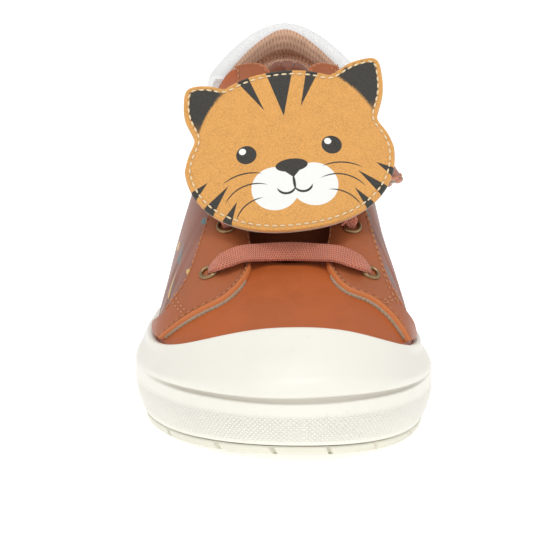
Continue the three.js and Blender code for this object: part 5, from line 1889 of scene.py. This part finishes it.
def patch_reach(angle):
    x = np.abs(np.cos(angle)) / (PATCH_WIDTH / 2)
    y = np.abs(np.sin(angle)) / (PATCH_HEIGHT / 2)
    head = (x**HEAD_FULLNESS + y**HEAD_FULLNESS) ** (-1 / HEAD_FULLNESS)
    degrees = np.degrees(np.arctan2(np.sin(angle), np.abs(np.cos(angle))))
    inside = (degrees >= EARS[0]["angle"]) & (degrees <= EARS[-1]["angle"])
    lateral, medial = column(EARS, "angle", "lateral")(degrees), column(EARS, "angle", "medial")(degrees)
    ear = np.where(np.cos(angle) < 0, lateral, medial) * PATCH_WIDTH / 2
    return np.where(inside, ear, head)


def patch_outline(count):
    angle = np.linspace(0, 2 * np.pi, count, endpoint=False)
    reach = patch_reach(angle)
    soft = sum(np.roll(reach, step) for step in (-2, -1, 0, 1, 2)) / 5
    return np.stack([soft * np.cos(angle), soft * np.sin(angle)], -1)


def inset_outline(line, inset):
    """The outline drawn in by an inset, with its corners kept in order."""
    ahead, behind = np.roll(line, -1, 0), np.roll(line, 1, 0)
    tangent = unit(ahead - behind)
    inward = np.stack([-tangent[:, 1], tangent[:, 0]], -1)
    moved = line + inward * inset
    for _ in range(6):
        moved = (np.roll(moved, -1, 0) + 2 * moved + np.roll(moved, 1, 0)) / 4
    return moved


def on_patch(flat, offset):
    centre, right, rise = patch_frame()
    sag = -(flat[..., 0] ** 2) / (2 * PATCH_BEND_RADIUS)
    points = centre + right * flat[..., :1] + rise * flat[..., 1:2]
    return points + RIDGE_NORMAL * (sag + offset)[..., None]


def patch_piece():
    count = 480
    line = patch_outline(count)
    rim = 0.45
    insets = rim * (1 - np.sin(np.linspace(0, np.pi / 2, 6)))
    inner_line = inset_outline(line, rim)
    shares = np.linspace(0.02, 1, 60) ** 0.8
    grids, offsets = [], []
    for share in shares:
        grids.append(inner_line * share)
        offsets.append(PATCH_THICKNESS + 0 * line[:, 0])
    for inset in insets[1:]:
        grids.append(mix(line, inner_line, inset / rim))
        round_off = math.sqrt(max(0.0, 1 - (1 - inset / rim) ** 2))
        offsets.append(PATCH_THICKNESS - rim * (1 - round_off) + 0 * line[:, 0])
    flat = np.array(grids)
    offset = np.array(offsets)
    radius = np.linalg.norm(flat, axis=-1)
    edge_gap = distance_to(line, flat)
    start = np.where(flat[..., 0] < 0, EAR_PRINT_START["lateral"], EAR_PRINT_START["medial"])
    high = ease(0.2, 0.5, flat[..., 1] / np.maximum(radius, 1e-3))
    ear = ease(-0.15, 0.15, radius - start) * ease(-0.12, 0.12, edge_gap - EAR_PRINT_MARGIN) * high
    outer = on_patch(flat, offset)
    inner = on_patch(flat, 0.9 + 0 * offset)
    back_outer = on_patch(flat * 0.995, 0.9 + 0 * offset)
    back_inner = on_patch(flat * 0.99, 0 * offset)
    face = face_material()
    felt = cloth_material("Patch backing", PALE_LEATHER_COLOUR, 0.95, 0.3, 0.2)
    fields = {"ear": ear, "seam_shade": 0.7 * np.exp(-(((edge_gap - 1.15) / 0.3) ** 2))}
    for grid in (outer, inner, back_outer, back_inner):
        grid[0] = grid[0].mean(0)
    skins = [face, felt, face]
    piece = sheet("face_patch_nubuck", outer, inner, flat, skins, wrap=True, attributes=fields)
    finish_piece(piece, "nubuck", "face_patch")
    backing = sheet("face_patch_backing", back_outer, back_inner, flat, [felt], wrap=True)
    finish_piece(backing, "nubuck", "face_patch")


def distance_to(line, flat):
    """Distance of each place in a grid to a closed outline."""
    places = flat.reshape(-1, 2)
    nearest = np.full(len(places), 1e9)
    for first in range(0, len(line), 3):
        nearest = np.minimum(nearest, np.hypot(*(places - line[first]).T))
    return nearest.reshape(flat.shape[:-1])


def patch_stitches():
    line = inset_outline(patch_outline(480), 1.2)
    line = np.concatenate([line, line[:1]])
    points = on_patch(line, PATCH_THICKNESS + 0.10 + 0 * line[:, 0])
    normal = np.broadcast_to(RIDGE_NORMAL, points.shape)
    return [(points, normal)]


# Stage

CAMERA_DISTANCE = 1000.0
CAMERA_ELEVATION = 10.5
CAMERA_TARGET = (0.45, -5.0, 42.0)
PHOTO_SIZE = 560.0
PHOTO_FOCAL = 4100.0
TARGET_PIXEL = (284.9, 226.1)
SENSOR = 36.0
FLOOR_REACH = 12.0
FLOOR_GLOW = 0.42


def area_light(name, place, aim, size, power, colour=(1, 1, 1)):
    light = bpy.data.lights.new(name, "AREA")
    light.shape = "RECTANGLE"
    light.size, light.size_y = size
    light.energy = power
    light.color = colour
    holder = bpy.data.objects.new(name, light)
    bpy.context.scene.collection.objects.link(holder)
    holder.location = place
    holder.rotation_euler = (Vector(aim) - Vector(place)).to_track_quat("-Z", "Y").to_euler()
    return holder


def stage():
    scene = bpy.context.scene
    corners = [(-FLOOR_REACH, -FLOOR_REACH), (FLOOR_REACH, -FLOOR_REACH), (FLOOR_REACH, FLOOR_REACH)]
    corners.append((-FLOOR_REACH, FLOOR_REACH))
    mesh = bpy.data.meshes.new("studio_floor")
    mesh.from_pydata([(x, y, 0.0) for x, y in corners], [], [(0, 1, 2, 3)])
    floor = bpy.data.objects.new("studio_floor", mesh)
    scene.collection.objects.link(floor)
    glow = {"Emission Color": (1.0, 1.0, 1.0, 1.0), "Emission Strength": FLOOR_GLOW}
    mesh.materials.append(new_material("Pale floor", FLOOR_COLOUR, 0.7, **glow)[0])

    scene.view_settings.view_transform = "Standard"
    world = bpy.data.worlds.new("Studio")
    world.use_nodes = True
    world.node_tree.nodes["Background"].inputs[0].default_value = (1, 1, 1, 1)
    world.node_tree.nodes["Background"].inputs[1].default_value = 0.62
    scene.world = world
    aim = (0, 0, 0.04)
    area_light("key_light", (-0.35, -0.75, 1.0), aim, (0.7, 0.7), 2.2)
    area_light("fill_light", (0.75, -0.6, 0.5), aim, (0.8, 0.8), 0.7)
    area_light("top_light", (0.0, -0.1, 1.15), aim, (1.0, 1.0), 1.5)
    area_light("collar_light", (0.0, -0.25, 0.78), (0.0, 0.06, 0.075), (0.2, 0.2), 1.3)

    tilt = math.radians(CAMERA_ELEVATION)
    target = Vector(CAMERA_TARGET) * MM
    back_way = Vector((0, -math.cos(tilt), math.sin(tilt)))
    rise_way = Vector((0, math.sin(tilt), math.cos(tilt)))
    place = target + back_way * CAMERA_DISTANCE * MM
    per_pixel = CAMERA_DISTANCE / PHOTO_FOCAL * MM
    side = Vector((1, 0, 0)) * (PHOTO_SIZE / 2 - TARGET_PIXEL[0]) * per_pixel
    fall = rise_way * (PHOTO_SIZE / 2 - TARGET_PIXEL[1]) * per_pixel
    looked_at = target + side - fall
    camera = bpy.data.cameras.new("photo_camera")
    camera.lens = PHOTO_FOCAL / PHOTO_SIZE * SENSOR
    camera.sensor_width = SENSOR
    camera.clip_end = 20
    holder = bpy.data.objects.new("photo_camera", camera)
    scene.collection.objects.link(holder)
    rotation = (looked_at - place).to_track_quat("-Z", "Y").to_matrix().to_4x4()
    holder.matrix_world = Matrix.Translation(place) @ rotation
    scene.camera = holder


# Operators and panel


class PieceOperator(bpy.types.Operator):
    bl_options = {"REGISTER", "UNDO"}


class SNEAKER_OT_sole(PieceOperator):
    """Build the rubber moulding with its toe cap, and the tread."""

    bl_idname = "sneaker.sole"
    bl_label = "Sole"

    def execute(self, context):
        sole_pieces()
        tread_piece()
        return {"FINISHED"}


class SNEAKER_OT_upper(PieceOperator):
    """Build the leather shell with its lining."""

    bl_idname = "sneaker.upper"
    bl_label = "Upper"

    def execute(self, context):
        upper_pieces()
        return {"FINISHED"}


class SNEAKER_OT_facings(PieceOperator):
    """Build the two facings and the backing under their front edges."""

    bl_idname = "sneaker.facings"
    bl_label = "Facings"

    def execute(self, context):
        facing_pieces()
        return {"FINISHED"}


class SNEAKER_OT_inside(PieceOperator):
    """Build the tongue, the padded collar and the insole."""

    bl_idname = "sneaker.inside"
    bl_label = "Tongue, collar and insole"

    def execute(self, context):
        tongue_piece()
        collar_piece()
        insole_piece()
        return {"FINISHED"}


class SNEAKER_OT_lacing(PieceOperator):
    """Build the brass eyelets and the elastic bars that run through them."""

    bl_idname = "sneaker.lacing"
    bl_label = "Eyelets and elastic bars"

    def execute(self, context):
        eyelet_pieces()
        elastic_pieces()
        return {"FINISHED"}


class SNEAKER_OT_strap(PieceOperator):
    """Build the strap over the instep."""

    bl_idname = "sneaker.strap"
    bl_label = "Strap"

    def execute(self, context):
        strap_piece()
        return {"FINISHED"}


class SNEAKER_OT_patch(PieceOperator):
    """Build the face patch with its print."""

    bl_idname = "sneaker.patch"
    bl_label = "Face patch"

    def execute(self, context):
        patch_piece()
        return {"FINISHED"}


class SNEAKER_OT_stitches(PieceOperator):
    """Sew the stitch rows."""

    bl_idname = "sneaker.stitches"
    bl_label = "Stitches"

    def execute(self, context):
        thread = cloth_material("Rust thread", tuple(context.scene.sneaker_colours.thread), 0.7, 0.12, 0.05)
        cream = cloth_material("Cream thread", CREAM_THREAD_COLOUR, 0.7, 0.12, 0.05)
        sew("stitches_facings", facing_stitches(), thread, "leather")
        sew("stitches_heel", heel_stitches(), thread, "leather")
        sew("stitches_strap", strap_stitches(), thread, "leather")
        sew("stitches_patch", patch_stitches(), cream, "nubuck")
        return {"FINISHED"}


class SNEAKER_OT_stage(PieceOperator):
    """Set the floor, the lights and the camera."""

    bl_idname = "sneaker.stage"
    bl_label = "Stage"

    def execute(self, context):
        stage()
        return {"FINISHED"}


OPERATORS = (
    SNEAKER_OT_stage,
    SNEAKER_OT_sole,
    SNEAKER_OT_upper,
    SNEAKER_OT_facings,
    SNEAKER_OT_inside,
    SNEAKER_OT_lacing,
    SNEAKER_OT_strap,
    SNEAKER_OT_patch,
    SNEAKER_OT_stitches,
)


class SNEAKER_PT_panel(bpy.types.Panel):
    bl_label = "Sneaker"
    bl_idname = "SNEAKER_PT_panel"
    bl_space_type = "VIEW_3D"
    bl_region_type = "UI"
    bl_category = "Sneaker"

    def draw(self, context):
        for group in (context.scene.sneaker_sizes, context.scene.sneaker_colours):
            for name in group.bl_rna.properties.keys():
                if name not in ("rna_type", "name"):
                    self.layout.prop(group, name)
        for operator in OPERATORS:
            self.layout.operator(operator.bl_idname)


CLASSES = (SneakerColours, SneakerSizes, *OPERATORS, SNEAKER_PT_panel)


def register():
    for item in CLASSES:
        bpy.utils.register_class(item)
    bpy.types.Scene.sneaker_colours = bpy.props.PointerProperty(type=SneakerColours)
    bpy.types.Scene.sneaker_sizes = bpy.props.PointerProperty(type=SneakerSizes)


def unregister():
    del bpy.types.Scene.sneaker_sizes
    del bpy.types.Scene.sneaker_colours
    for item in reversed(CLASSES):
        bpy.utils.unregister_class(item)


def main():
    register()
    for operator in OPERATORS:
        group, name = operator.bl_idname.split(".")
        getattr(getattr(bpy.ops, group), name)()


if __name__ == "__main__":
    main()
